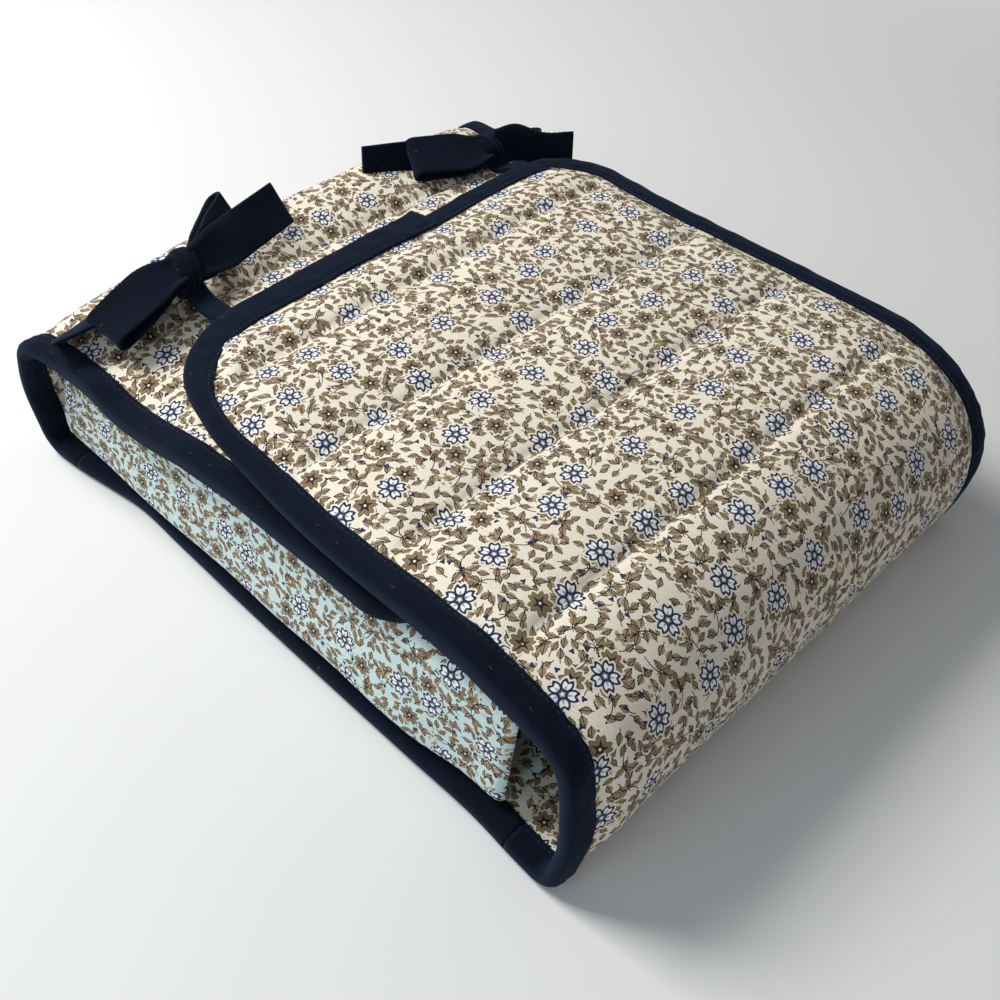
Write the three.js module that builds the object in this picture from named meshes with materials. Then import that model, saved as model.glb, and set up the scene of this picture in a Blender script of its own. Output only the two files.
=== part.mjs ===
// Quilted casserole carrier: a long padded wrap folded round a dish, crossed by a shorter
// padded panel that stands up at the two open sides, and closed by two bow ties.
// X runs across the wrap, Y from its front wall to its back wall, Z up. The base rests on Z = 0.
import * as THREE from 'three';

// Cloth, filling, the clearance between stacked layers and the air between the flaps, in millimetres
const cloth = 0.6;
const batting = 4.5;
const clearance = 0.3;
const layerGap = 0.5;
const flapLoft = 5;

// Long wrap
const wrapWidth = 305;
const wrapDepth = 355;
const cavityHeight = 52;
const frontFlapSetback = 78;
const backFlapSetback = 91;
const shoulderRadius = 58;
const backRimRadius = 14;
const baseCornerRadius = 12;
const flapCornerRadius = 45;

// Bias binding round the edges of the wrap
const bindingCloth = 0.9;
const bindingLeg = 12;
const bindingStitchRoom = 2;

// Quilting lines across the wrap
const quiltPitch = 63.5;
const quiltRise = 2.6;
const quiltFullness = 0.6;
const frontQuiltInset = 45;
const frontQuiltLines = 4;
const backQuiltInset = 52;
const backQuiltLines = 4;
const quiltFade = 26;
const baseFade = 6;

// Cross panel that makes the two sides
const sideInset = 5.5;
const panelFrontSetback = 37.5;
const panelBackSetback = 19.5;
const panelFoldRadius = 9;
const lipLength = 110;
const lipCornerRadius = 30;

// Bow ties
const tieWidth = 23;
const tieGather = 13;
const tieThickness = 2.4;
const knotLength = 20;
const knotHalfWidth = 10;
const knotHalfHeight = 7;
const knotChamfer = 4;
const knotTaper = 0.88;
const knotBehindFlap = 29;
const knotAboveFlap = 3.5;
const loopRootHalf = 1.5;
const loopFoldRadius = 4.5;
const backTieLength = 28;
const leftBowInset = 60.5;
const rightBowInset = 34.5;

// Hinge lines lie this far outside the cloth at the folds of the flaps and of the sides
const flapHingeOffset = 6;
const sideHingeOffset = 0.4;
const lipHingeOffset = 1.5;

// Heights that follow from the layers
const padThickness = 2 * cloth + 2 * clearance + batting;
const bindingBulk = clearance + bindingCloth;
const edgeInset = bindingCloth + clearance;
const baseSeat = bindingBulk;
const panelUnderside = baseSeat + padThickness + bindingBulk + clearance;
const panelTop = panelUnderside + padThickness + cavityHeight + padThickness;
const backTop = panelTop + layerGap + bindingBulk + padThickness;
const frontTop = backTop + quiltRise + flapLoft + layerGap + bindingBulk + padThickness;

const halfWidth = wrapWidth / 2;
const halfDepth = wrapDepth / 2;
const frontFlapEnd = halfDepth - frontFlapSetback;
const backFlapEnd = backFlapSetback - halfDepth;
const bindingMargin = bindingLeg + bindingStitchRoom;

const arcStep = Math.PI / 10;
const leastRowStep = 0.8;
const channelParts = 4;

// Materials
const finish = (color, roughness) => () => (
  new THREE.MeshStandardMaterial({ color, roughness, metalness: 0 })
);
const printedCotton = finish(0xd9c7a3, 0.9);
const paleCotton = finish(0xdce6e0, 0.9);
const whiteBatting = finish(0xf1ede2, 1);
const navyCotton = finish(0x1a2133, 0.8);

const carrier = new THREE.Group();

function addPiece(name, geometry, material) {
  const mesh = new THREE.Mesh(geometry, material());
  mesh.name = name;
  carrier.add(mesh);
}

// A strip of cloth bent along a profile of straight runs and round folds. Flat places on it are
// (across, along, height), with height out of the cloth's outer face.
class FoldedStrip {
  constructor(corners, radii, place) {
    this.place = place;
    this.runs = [];
    this.folds = [];
    this.length = 0;
    let from = corners[0];
    for (let i = 1; i < corners.length; i++) {
      const heading = corners[i].clone().sub(corners[i - 1]).normalize();
      if (i === corners.length - 1) {
        this.addRun(from, heading, from.distanceTo(corners[i]), 0);
        break;
      }
      const next = corners[i + 1].clone().sub(corners[i]).normalize();
      const turn = Math.acos(heading.dot(next));
      const radius = radii[i - 1];
      const setback = radius * Math.tan(turn / 2);
      const bendStart = corners[i].clone().addScaledVector(heading, -setback);
      this.addRun(from, heading, from.distanceTo(bendStart), 0);
      const bend = radius * turn;
      this.folds.push({ start: this.length, middle: this.length + bend / 2, end: this.length + bend });
      this.addRun(bendStart, heading, bend, radius);
      from = corners[i].clone().addScaledVector(next, setback);
    }
  }

  addRun(from, heading, length, radius) {
    this.runs.push({ start: this.length, from, heading, length, radius });
    this.length += length;
  }

  // Point and outward direction on the profile
  at(along) {
    const run = this.runs.findLast((candidate) => candidate.start <= along) ?? this.runs[0];
    const local = along - run.start;
    const outward = new THREE.Vector2(-run.heading.y, run.heading.x);
    if (run.radius === 0) {
      return { point: run.from.clone().addScaledVector(run.heading, local), outward };
    }
    const centre = run.from.clone().addScaledVector(outward, -run.radius);
    outward.rotateAround(new THREE.Vector2(), -local / run.radius);
    return { point: centre.addScaledVector(outward, run.radius), outward };
  }

  map(across, along, height) {
    const { point, outward } = this.at(along);
    return this.place(across, point.addScaledVector(outward, height));
  }

  // Rows from one place to another, with extra rows round each fold
  rows(from, to, marks = []) {
    const places = [from, to, ...marks];
    for (const run of this.runs) {
      const parts = run.radius === 0 ? 1 : Math.ceil(run.length / run.radius / arcStep);
      for (let i = 0; i <= parts; i++) {
        places.push(run.start + run.length * i / parts);
      }
    }
    const inside = places.filter((place) => place > from + leastRowStep && place < to - leastRowStep);
    const sorted = inside.sort((a, b) => a - b);
    const kept = sorted.filter((place, i) => i === 0 || place - sorted[i - 1] > leastRowStep);
    return [from, ...kept, to];
  }
}

// Closed geometry from points and triangles, turned so that its faces point out
function closedGeometry(points, triangles) {
  let volume = 0;
  for (const [a, b, c] of triangles) {
    volume += points[a].dot(points[b].clone().cross(points[c]));
  }
  const index = triangles.flatMap(([a, b, c]) => (volume > 0 ? [a, b, c] : [a, c, b]));
  const geometry = new THREE.BufferGeometry().setFromPoints(points);
  geometry.setIndex(index);
  geometry.computeVertexNormals();
  return geometry;
}

// A layer of a pad: a grid over rows and columns between an upper and a lower height
function layerGeometry(strip, rows, columnsAt, upper, lower) {
  const points = [];
  const columnCount = columnsAt(rows[0]).length;
  for (const height of [upper, lower]) {
    for (const along of rows) {
      for (const across of columnsAt(along)) {
        points.push(strip.map(across, along, height(across, along)));
      }
    }
  }
  const below = rows.length * columnCount;
  const at = (row, column) => row * columnCount + column;
  const triangles = [];
  const quad = (a, b, c, d) => triangles.push([a, b, c], [a, c, d]);
  for (let row = 0; row < rows.length - 1; row++) {
    for (let column = 0; column < columnCount - 1; column++) {
      const [a, b] = [at(row, column), at(row, column + 1)];
      const [d, c] = [at(row + 1, column), at(row + 1, column + 1)];
      triangles.push([a, b, c], [a, c, d]);
      triangles.push([below + a, below + c, below + b], [below + a, below + d, below + c]);
    }
    const last = columnCount - 1;
    quad(at(row, 0), at(row + 1, 0), below + at(row + 1, 0), below + at(row, 0));
    quad(at(row + 1, last), at(row, last), below + at(row, last), below + at(row + 1, last));
  }
  const end = rows.length - 1;
  for (let column = 0; column < columnCount - 1; column++) {
    quad(at(0, column + 1), at(0, column), below + at(0, column), below + at(0, column + 1));
    quad(at(end, column), at(end, column + 1), below + at(end, column + 1), below + at(end, column));
  }
  return closedGeometry(points, triangles);
}

// A section, given by its outline in anticlockwise order, carried through rings and closed at both ends
function loftGeometry(section, rings) {
  const count = rings[0].length;
  const triangles = [];
  for (let ring = 0; ring < rings.length - 1; ring++) {
    for (let i = 0; i < count; i++) {
      const next = (i + 1) % count;
      const [a, b] = [ring * count + i, ring * count + next];
      triangles.push([a, b, b + count], [a, b + count, a + count]);
    }
  }
  const end = (rings.length - 1) * count;
  const outline = section.map(([x, y]) => new THREE.Vector2(x, y));
  for (const [a, b, c] of THREE.ShapeUtils.triangulateShape(outline, [])) {
    triangles.push([a, c, b], [end + a, end + b, end + c]);
  }
  return closedGeometry(rings.flat(), triangles);
}

// The three layers of a quilted pad: outer cloth, batting and lining
function addPad(name, strip, rows, columnsAt, rise, sag, outerCotton, liningCotton) {
  const level = (depth, swell) => (across, along) => swell(across, along) - depth;
  const down = (across, along) => -sag(across, along);
  const innerFace = padThickness - cloth;
  const battingTop = cloth + clearance;
  const battingFloor = battingTop + batting;
  const layer = (top, bottom) => layerGeometry(strip, rows, columnsAt, top, bottom);
  addPiece(`${name}_cover`, layer(level(0, rise), level(cloth, rise)), outerCotton);
  addPiece(`${name}_batting`, layer(level(battingTop, rise), level(battingFloor, down)), whiteBatting);
  addPiece(`${name}_lining`, layer(level(innerFace, down), level(padThickness, down)), liningCotton);
}

// Directions round a quarter corner
const cornerParts = 4;
const cornerAngles = Array.from({ length: cornerParts + 1 }, (_, i) => i / cornerParts * Math.PI / 2);

// Half width of a strip at a place, with a faceted round corner at a free end
function outlineHalfWidth(half, radius, inset, distanceToEnd) {
  const reach = (radius - distanceToEnd) / (radius - inset);
  const next = cornerAngles.findIndex((angle) => Math.sin(angle) >= reach);
  if (next < 1) {
    return next === 0 ? half - inset : half - radius;
  }
  const [low, high] = [cornerAngles[next - 1], cornerAngles[next]];
  const part = (reach - Math.sin(low)) / (Math.sin(high) - Math.sin(low));
  const cosine = THREE.MathUtils.lerp(Math.cos(low), Math.cos(high), part);
  return half - radius + (radius - inset) * cosine;
}

// Rows that follow the round corners of a free end
function cornerRows(end, towardsHinge, radius, inset) {
  return cornerAngles.map((angle) => end + towardsHinge * (radius - (radius - inset) * Math.sin(angle)));
}

const clamp01 = (value) => Math.min(Math.max(value, 0), 1);

// Wrap, from the back flap's end round the base to the front flap's end
const wrap = new FoldedStrip(
  [
    new THREE.Vector2(backFlapEnd, backTop),
    new THREE.Vector2(halfDepth, backTop),
    new THREE.Vector2(halfDepth, baseSeat),
    new THREE.Vector2(-halfDepth, baseSeat),
    new THREE.Vector2(-halfDepth, frontTop),
    new THREE.Vector2(frontFlapEnd, frontTop),
  ],
  [backRimRadius, baseCornerRadius, baseCornerRadius, shoulderRadius],
  (across, point) => new THREE.Vector3(across, point.x, point.y),
);
const [backRim, backCorner, frontCorner, shoulder] = wrap.folds;

// Quilting lines, counted from the free ends, and the swelling of the cloth between them
const firstFrontLine = wrap.length - frontQuiltInset;
const firstBackLine = wrapDepth - backFlapSetback - backQuiltInset;
const linesFrom = (first, count) => Array.from({ length: count }, (_, i) => first - i * quiltPitch);
const frontLines = linesFrom(firstFrontLine, frontQuiltLines);
const backLines = linesFrom(firstBackLine, backQuiltLines);
const quiltLines = [
  bindingMargin,
  ...backLines,
  backCorner.start,
  frontCorner.end,
  ...frontLines,
  wrap.length - bindingMargin,
].sort((a, b) => a - b);
const isBase = (along) => along > backCorner.start && along < frontCorner.end;

function quiltSwell(along) {
  const next = quiltLines.findIndex((line) => line > along);
  if (next < 1 || isBase(along)) {
    return 0;
  }
  const length = quiltLines[next] - quiltLines[next - 1];
  const part = (along - quiltLines[next - 1]) / length;
  return quiltRise * length / quiltPitch * Math.sin(Math.PI * part) ** quiltFullness;
}

const quiltMarks = quiltLines.slice(1).flatMap((line, i) => {
  const step = (line - quiltLines[i]) / channelParts;
  return Array.from({ length: channelParts + 1 }, (_, part) => quiltLines[i] + step * part);
});

const distanceToFreeEnd = (along) => Math.min(along, wrap.length - along);
const wrapHalfWidth = (along, inset) => (
  outlineHalfWidth(halfWidth, flapCornerRadius, inset, distanceToFreeEnd(along))
);

// Columns: the edge, the inner edge of the binding, the end of the fade, and two in the middle
function columnsFrom(half, fade) {
  const [edge, inner] = [half - bindingMargin, half - bindingMargin - fade];
  return [-half, -edge, -inner, -inner / 3, inner / 3, inner, edge, half];
}

const wrapColumns = (fade) => (along) => columnsFrom(wrapHalfWidth(along, edgeInset), fade);
const fadeFrom = (edge, across, fade) => clamp01((edge - bindingMargin - Math.abs(across)) / fade);
const noSwell = () => 0;

function wrapSwell(across, along) {
  return quiltSwell(along) * fadeFrom(wrapHalfWidth(along, edgeInset), across, quiltFade);
}

// The base swells to a flat face on each side, level with its binding
function baseSwell(across, along) {
  const alongFade = clamp01(Math.min(along - backCorner.end, frontCorner.start - along) / baseFade);
  return bindingBulk * Math.min(alongFade, fadeFrom(halfWidth - edgeInset, across, baseFade));
}

const halfGap = clearance / 2;
const wrapParts = {
  back_flap: { from: edgeInset, to: backRim.middle - halfGap },
  back_wall: { from: backRim.middle + halfGap, to: backCorner.middle - halfGap },
  base: { from: backCorner.middle + halfGap, to: frontCorner.middle - halfGap },
  front_wall: { from: frontCorner.middle + halfGap, to: shoulder.middle - halfGap },
  front_flap: { from: shoulder.middle + halfGap, to: wrap.length - edgeInset },
};
const wrapMarks = [
  ...quiltMarks,
  ...cornerRows(0, 1, flapCornerRadius, edgeInset),
  ...cornerRows(wrap.length, -1, flapCornerRadius, edgeInset),
];

for (const [name, { from, to }] of Object.entries(wrapParts)) {
  if (name === 'base') {
    const rows = wrap.rows(from, to, [backCorner.end + baseFade, frontCorner.start - baseFade]);
    addPad(name, wrap, rows, wrapColumns(baseFade), baseSwell, baseSwell, printedCotton, printedCotton);
  } else {
    const rows = wrap.rows(from, to, wrapMarks);
    addPad(name, wrap, rows, wrapColumns(quiltFade), wrapSwell, noSwell, printedCotton, printedCotton);
  }
}

// Binding: a folded tape with two legs that clasp the edge of the pad
const bindingSection = [
  [0, bindingBulk],
  [0, -padThickness - bindingBulk],
  [bindingLeg, -padThickness - bindingBulk],
  [bindingLeg, -padThickness - clearance],
  [bindingCloth, -padThickness - clearance],
  [bindingCloth, clearance],
  [bindingLeg, clearance],
  [bindingLeg, bindingBulk],
];

function bindingGeometry(stations) {
  const rings = stations.map(({ across, along, inward }) => bindingSection.map(([depth, height]) => (
    wrap.map(across + inward.x * depth, along + inward.y * depth, height)
  )));
  return loftGeometry(bindingSection, rings);
}

const edgeStations = (rows, side) => rows.map((along) => ({
  across: side * halfWidth,
  along,
  inward: new THREE.Vector2(-side, 0),
}));

function cornerStations(side, end, towardsHinge) {
  return cornerAngles.map((angle) => ({
    across: side * (halfWidth - flapCornerRadius * (1 - Math.cos(angle))),
    along: end + towardsHinge * flapCornerRadius * (1 - Math.sin(angle)),
    inward: new THREE.Vector2(-side * Math.cos(angle), towardsHinge * Math.sin(angle)),
  }));
}

// Binding of a flap: up one edge, round both corners of the free end and down the other edge
function flapBinding(name, end, towardsHinge) {
  const rows = wrap.rows(wrapParts[name].from, wrapParts[name].to, wrapMarks);
  const straight = rows.filter((along) => distanceToFreeEnd(along) > flapCornerRadius + leastRowStep);
  const outwards = towardsHinge > 0 ? straight.toReversed() : straight;
  const sideStations = (side) => [
    ...edgeStations(outwards, side),
    ...cornerStations(side, end, towardsHinge),
  ];
  return bindingGeometry([...sideStations(-1), ...sideStations(1).toReversed()]);
}

addPiece('front_flap_binding', flapBinding('front_flap', wrap.length, -1), navyCotton);
addPiece('back_flap_binding', flapBinding('back_flap', 0, 1), navyCotton);
for (const name of ['base', 'front_wall', 'back_wall']) {
  const marks = name === 'base' ? [] : quiltMarks;
  const rows = wrap.rows(wrapParts[name].from, wrapParts[name].to, marks);
  addPiece(`${name}_binding_left`, bindingGeometry(edgeStations(rows, -1)), navyCotton);
  addPiece(`${name}_binding_right`, bindingGeometry(edgeStations(rows, 1)), navyCotton);
}

// Cross panel, from the right lip down the right side, over the base, up the left side to the left lip
const halfSpan = halfWidth - sideInset;
const panelWidth = wrapDepth - panelFrontSetback - panelBackSetback;
const panelShift = (panelFrontSetback - panelBackSetback) / 2;
const panel = new FoldedStrip(
  [
    new THREE.Vector2(halfSpan - lipLength, panelTop),
    new THREE.Vector2(halfSpan, panelTop),
    new THREE.Vector2(halfSpan, panelUnderside),
    new THREE.Vector2(-halfSpan, panelUnderside),
    new THREE.Vector2(-halfSpan, panelTop),
    new THREE.Vector2(lipLength - halfSpan, panelTop),
  ],
  [panelFoldRadius, panelFoldRadius, panelFoldRadius, panelFoldRadius],
  (across, point) => new THREE.Vector3(point.x, panelShift - across, point.y),
);
const [rightTopFold, rightFoot, leftFoot, leftTopFold] = panel.folds;
const panelParts = {
  lip_right: { from: 0, to: rightTopFold.middle - halfGap },
  side_right: { from: rightTopFold.middle + halfGap, to: rightFoot.middle - halfGap },
  inner_base: { from: rightFoot.middle + halfGap, to: leftFoot.middle - halfGap },
  side_left: { from: leftFoot.middle + halfGap, to: leftTopFold.middle - halfGap },
  lip_left: { from: leftTopFold.middle + halfGap, to: panel.length },
};
const lipCornerMarks = [
  ...cornerRows(0, 1, lipCornerRadius, 0),
  ...cornerRows(panel.length, -1, lipCornerRadius, 0),
];

function panelColumns(along) {
  const half = outlineHalfWidth(panelWidth / 2, lipCornerRadius, 0, Math.min(along, panel.length - along));
  return [-half, -half / 2, 0, half / 2, half];
}

for (const [name, { from, to }] of Object.entries(panelParts)) {
  const rows = panel.rows(from, to, lipCornerMarks);
  addPad(name, panel, rows, panelColumns, noSwell, noSwell, paleCotton, printedCotton);
}

// Bow ties. Each lies behind the front flap's end, leaning back on the back flap.
const acrossBow = new THREE.Vector3(0, 0.82, 0.57).normalize();
const acrossTies = new THREE.Vector3(1, 0, 0);
const outOfBow = acrossTies.clone().cross(acrossBow);
const strapSteps = 6;
const foldSteps = 4;
const gatherLength = 0.45;

// A flat strap: rectangles of a given width and thickness carried along its stations
const strapSection = [[1, 1], [-1, 1], [-1, -1], [1, -1]];

function strapGeometry(stations) {
  const rings = stations.map(({ point, across, out, width }) => strapSection.map(([side, face]) => (
    point.clone().addScaledVector(across, side * width / 2).addScaledVector(out, face * tieThickness / 2)
  )));
  return loftGeometry(strapSection, rings);
}

// Places along a smooth line from the knot outwards. The strap widens from its gathered root, and its
// width direction, squared to the line, turns from root to tip.
function strapLine(points, rootAcross, tipAcross) {
  const curve = new THREE.CatmullRomCurve3(points);
  return Array.from({ length: strapSteps + 1 }, (_, i) => {
    const part = i / strapSteps;
    const tangent = curve.getTangent(part);
    const aim = rootAcross.clone().lerp(tipAcross, part);
    const across = aim.addScaledVector(tangent, -aim.dot(tangent)).normalize();
    const out = new THREE.Vector3().crossVectors(tangent, across);
    const width = THREE.MathUtils.lerp(tieGather, tieWidth, clamp01(part / gatherLength));
    return { part, point: curve.getPoint(part), tangent, across, out, width };
  });
}

const shifted = (station, distance, out) => ({
  ...station,
  point: station.point.clone().addScaledVector(station.out, distance),
  out,
});

// A loop: out on one face of its line, round a fold, and back on the other face
function loopStations(line) {
  const halfAt = (part) => (
    THREE.MathUtils.lerp(loopRootHalf, loopFoldRadius, THREE.MathUtils.smoothstep(part, 0, 1))
  );
  const outward = line.map((station) => shifted(station, halfAt(station.part), station.out));
  const back = line.map((station) => shifted(station, -halfAt(station.part), station.out.clone().negate()));
  const tip = line[line.length - 1];
  const fold = Array.from({ length: foldSteps - 1 }, (_, i) => {
    const angle = Math.PI / 2 - (i + 1) / foldSteps * Math.PI;
    const out = tip.out.clone().multiplyScalar(Math.sin(angle)).addScaledVector(tip.tangent, Math.cos(angle));
    return { ...tip, point: tip.point.clone().addScaledVector(out, loopFoldRadius), out };
  });
  return [...outward, ...fold, ...back.toReversed()];
}

function knotGeometry(centre) {
  const [w, h, c] = [knotHalfWidth, knotHalfHeight, knotChamfer];
  const upper = [[w, h - c], [w - c, h], [c - w, h], [-w, h - c]];
  const octagon = [...upper, ...upper.map(([a, b]) => [-a, -b])];
  const hoops = [[-0.5, knotTaper], [0, 1], [0.5, knotTaper]];
  const rings = hoops.map(([place, scale]) => octagon.map(([a, b]) => (
    centre.clone()
      .add(new THREE.Vector3(place * knotLength, 0, 0))
      .addScaledVector(acrossBow, a * scale)
      .addScaledVector(outOfBow, b * scale)
  )));
  return loftGeometry(octagon, rings);
}

const hinges = [];

function addHinge(name, point, axis) {
  hinges.push({ name, point, axis });
}

// Strap ends are given from the knot, in widths of the tie. A front piece lies over the one behind it.
const bows = [
  {
    name: 'left_bow',
    knotAcross: leftBowInset - halfWidth,
    straps: [
      { name: 'tail_inner', side: 1, front: true, loop: false, tip: [3.2, 0.65, 0.3] },
      { name: 'loop_inner', side: 1, front: false, loop: true, tip: [2.5, 1.17, 0.22] },
      { name: 'loop_outer', side: -1, front: true, loop: true, tip: [-2, -0.52, -0.13] },
      { name: 'tail_outer', side: -1, front: false, loop: false, tip: [-2.65, 0.83, -0.52], lean: [0, 0.93, 0.1] },
    ],
  },
  {
    name: 'right_bow',
    knotAcross: halfWidth - rightBowInset,
    straps: [
      { name: 'loop_inner', side: -1, front: true, loop: true, tip: [-2, -0.09, 0.3] },
      { name: 'tail_inner', side: -1, front: false, loop: false, tip: [-3.3, 0.87, 0.13] },
      { name: 'tail_outer', side: 1, front: true, loop: false, tip: [1.83, -1.2, -0.2] },
      { name: 'loop_outer', side: 1, front: false, loop: true, tip: [1.6, -0.1, -0.2] },
    ],
  },
];
const seatOnKnot = { frontTail: 4, backLoop: -2, frontLoop: 3, backTail: -4.4 };
const strapLead = 8;

for (const bow of bows) {
  const knot = new THREE.Vector3(bow.knotAcross, frontFlapEnd + knotBehindFlap, frontTop + knotAboveFlap);
  addPiece(`${bow.name}_knot`, knotGeometry(knot), navyCotton);

  for (const { name, side, front, loop, tip, lean = acrossBow } of bow.straps) {
    const seat = seatOnKnot[`${front ? 'front' : 'back'}${loop ? 'Loop' : 'Tail'}`];
    const along = new THREE.Vector3(side, 0, 0);
    const face = knot.clone().addScaledVector(along, knotLength / 2 + clearance);
    const root = face.addScaledVector(outOfBow, seat);
    const lead = root.clone().addScaledVector(along, strapLead);
    const end = knot.clone().addScaledVector(new THREE.Vector3(...tip), tieWidth);
    const middle = lead.clone().lerp(end, 0.5);
    const line = strapLine([root, lead, middle, end], acrossBow, new THREE.Vector3(...lean).normalize());
    addPiece(`${bow.name}_${name}`, strapGeometry(loop ? loopStations(line) : line), navyCotton);

    // A front strap lifts off the bow, and one behind it swings up in its own plane, about its near edge
    const lift = front ? outOfBow : acrossBow;
    const reach = front ? (loop ? loopRootHalf : 0) + tieThickness / 2 : tieGather / 2;
    addHinge(`${bow.name}_${name}`, root.clone().addScaledVector(lift, reach), along.clone().cross(lift));
  }

  // Tie from the front flap's end to the knot, and the one sewn on the back flap
  const flapEdge = new THREE.Vector3(knot.x, frontFlapEnd + clearance, frontTop - padThickness / 2);
  const frontSeat = knot.clone().addScaledVector(acrossBow, -knotHalfWidth - clearance);
  const frontTie = strapLine(
    [
      frontSeat,
      frontSeat.clone().addScaledVector(acrossBow, -strapLead / 2),
      flapEdge.clone().add(new THREE.Vector3(0, strapLead, 0)),
      flapEdge,
    ],
    acrossTies,
    acrossTies,
  );
  addPiece(`${bow.name}_front_tie`, strapGeometry(frontTie), navyCotton);

  const backTieRoot = knot.y + backTieLength;
  const backLevel = backTop + wrapSwell(Math.abs(knot.x) - tieWidth / 2, backTieRoot - backFlapEnd);
  const backSeat = knot.clone().addScaledVector(outOfBow, -knotHalfHeight - clearance);
  const backStart = new THREE.Vector3(knot.x, backTieRoot, backLevel + clearance + tieThickness / 2);
  const backTie = strapLine(
    [
      backSeat,
      backSeat.clone().addScaledVector(outOfBow, -strapLead / 2),
      backStart.clone().add(new THREE.Vector3(0, -strapLead, 0)),
      backStart,
    ],
    acrossTies,
    acrossTies,
  );
  addPiece(`${bow.name}_back_tie`, strapGeometry(backTie), navyCotton);
}

// Hinge lines of the folds, in the carrier's own frame
addHinge('front_flap', wrap.map(0, shoulder.middle, flapHingeOffset), new THREE.Vector3(1, 0, 0));
addHinge('back_flap', wrap.map(0, backRim.middle, flapHingeOffset), new THREE.Vector3(-1, 0, 0));
addHinge('side_left', panel.map(0, leftFoot.middle, sideHingeOffset), new THREE.Vector3(0, -1, 0));
addHinge('side_right', panel.map(0, rightFoot.middle, sideHingeOffset), new THREE.Vector3(0, 1, 0));
const lipAxis = new THREE.Vector3(
  halfSpan - padThickness - lipHingeOffset,
  panelShift,
  panelTop - padThickness - lipHingeOffset,
);
addHinge('lip_left', lipAxis.clone().multiply(new THREE.Vector3(-1, 1, 1)), new THREE.Vector3(0, 1, 0));
addHinge('lip_right', lipAxis, new THREE.Vector3(0, -1, 0));
carrier.userData.hinges = hinges;

export default carrier;
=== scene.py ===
"""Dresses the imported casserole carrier: quilted pads, bound edges, bow ties, stitching and a pale stage."""
import math

import bpy
import numpy as np
from mathutils import Matrix, Vector


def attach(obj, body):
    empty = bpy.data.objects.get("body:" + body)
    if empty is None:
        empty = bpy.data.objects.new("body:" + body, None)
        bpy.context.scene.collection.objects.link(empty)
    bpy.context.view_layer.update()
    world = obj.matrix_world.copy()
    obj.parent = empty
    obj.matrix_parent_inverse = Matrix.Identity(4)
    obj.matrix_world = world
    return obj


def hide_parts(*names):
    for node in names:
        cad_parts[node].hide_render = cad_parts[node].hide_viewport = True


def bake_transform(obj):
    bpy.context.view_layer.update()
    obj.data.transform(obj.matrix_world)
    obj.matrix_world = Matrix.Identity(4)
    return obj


bl_info = {
    "name": "Quilted Casserole Carrier",
    "version": (1, 0, 0),
    "blender": (4, 5, 0),
    "location": "View3D > Sidebar > Carrier",
    "description": "Builds the cloth pieces of a quilted casserole carrier round its packed solids",
    "category": "Object",
}

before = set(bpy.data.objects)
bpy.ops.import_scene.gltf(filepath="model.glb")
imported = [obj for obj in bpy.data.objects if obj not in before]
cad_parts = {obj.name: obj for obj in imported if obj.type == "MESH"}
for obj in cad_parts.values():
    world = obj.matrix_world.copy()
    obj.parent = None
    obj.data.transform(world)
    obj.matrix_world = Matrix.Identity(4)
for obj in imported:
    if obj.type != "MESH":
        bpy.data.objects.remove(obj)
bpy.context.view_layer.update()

# Cloth work is in millimetres; meshes, size properties, hinges and the stage are in metres
MM = 0.001
UV_PER_MM = 0.01
HALF_WIDTH = 152.5
HALF_DEPTH = 177.5
PAD = 6.3
WRAP_FOOT = 1.2
BACK_TOP = 81.6
FRONT_TOP = 97.2
BACK_FLAP_END = -86.5
FRONT_FLAP_END = 99.5
RIM_RADIUS = 14
FOOT_RADIUS = 12
SHOULDER_RADIUS = 58
SEAM_SHIFT = 15
WRAP_CORNERS = [
    (BACK_FLAP_END, BACK_TOP),
    (HALF_DEPTH, BACK_TOP),
    (HALF_DEPTH, WRAP_FOOT),
    (-HALF_DEPTH, WRAP_FOOT),
    (-HALF_DEPTH, FRONT_TOP),
    (FRONT_FLAP_END, FRONT_TOP),
]
WRAP_RADII = [RIM_RADIUS, FOOT_RADIUS, FOOT_RADIUS, SHOULDER_RADIUS]
PANEL_HALF_SPAN = 147
PANEL_HALF_WIDTH = 154
PANEL_SHIFT = 14
PANEL_UNDERSIDE = 9
PANEL_TOP = 73.6
PANEL_FOLD = 9
LIP = 110
PANEL_CORNERS = [
    (PANEL_HALF_SPAN - LIP, PANEL_TOP),
    (PANEL_HALF_SPAN, PANEL_TOP),
    (PANEL_HALF_SPAN, PANEL_UNDERSIDE),
    (-PANEL_HALF_SPAN, PANEL_UNDERSIDE),
    (-PANEL_HALF_SPAN, PANEL_TOP),
    (LIP - PANEL_HALF_SPAN, PANEL_TOP),
]
SEED = 11


def smooth(low, high, value):
    """Nought before low, one after high, and a smooth step between, whichever of the two is larger."""
    part = np.clip((value - low) / (high - low), 0, 1)
    return part * part * (3 - 2 * part)


def bump(value, width):
    """A bell of height one at nought that falls off over a width."""
    return np.exp(-(value / width) ** 2)


def spline(places, levels, value):
    """A smooth curve through given levels: cubic pieces whose slopes come from the neighbouring levels."""
    places, levels = np.array(places, float), np.array(levels, float)
    slopes = np.gradient(levels, places)
    index = np.clip(np.searchsorted(places, value) - 1, 0, len(places) - 2)
    span = places[index + 1] - places[index]
    part = np.clip((value - places[index]) / span, 0, 1)
    square, cube = part**2, part**3
    start = (2 * cube - 3 * square + 1) * levels[index] + (cube - 2 * square + part) * span * slopes[index]
    finish = (3 * square - 2 * cube) * levels[index + 1] + (cube - square) * span * slopes[index + 1]
    return start + finish


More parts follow.
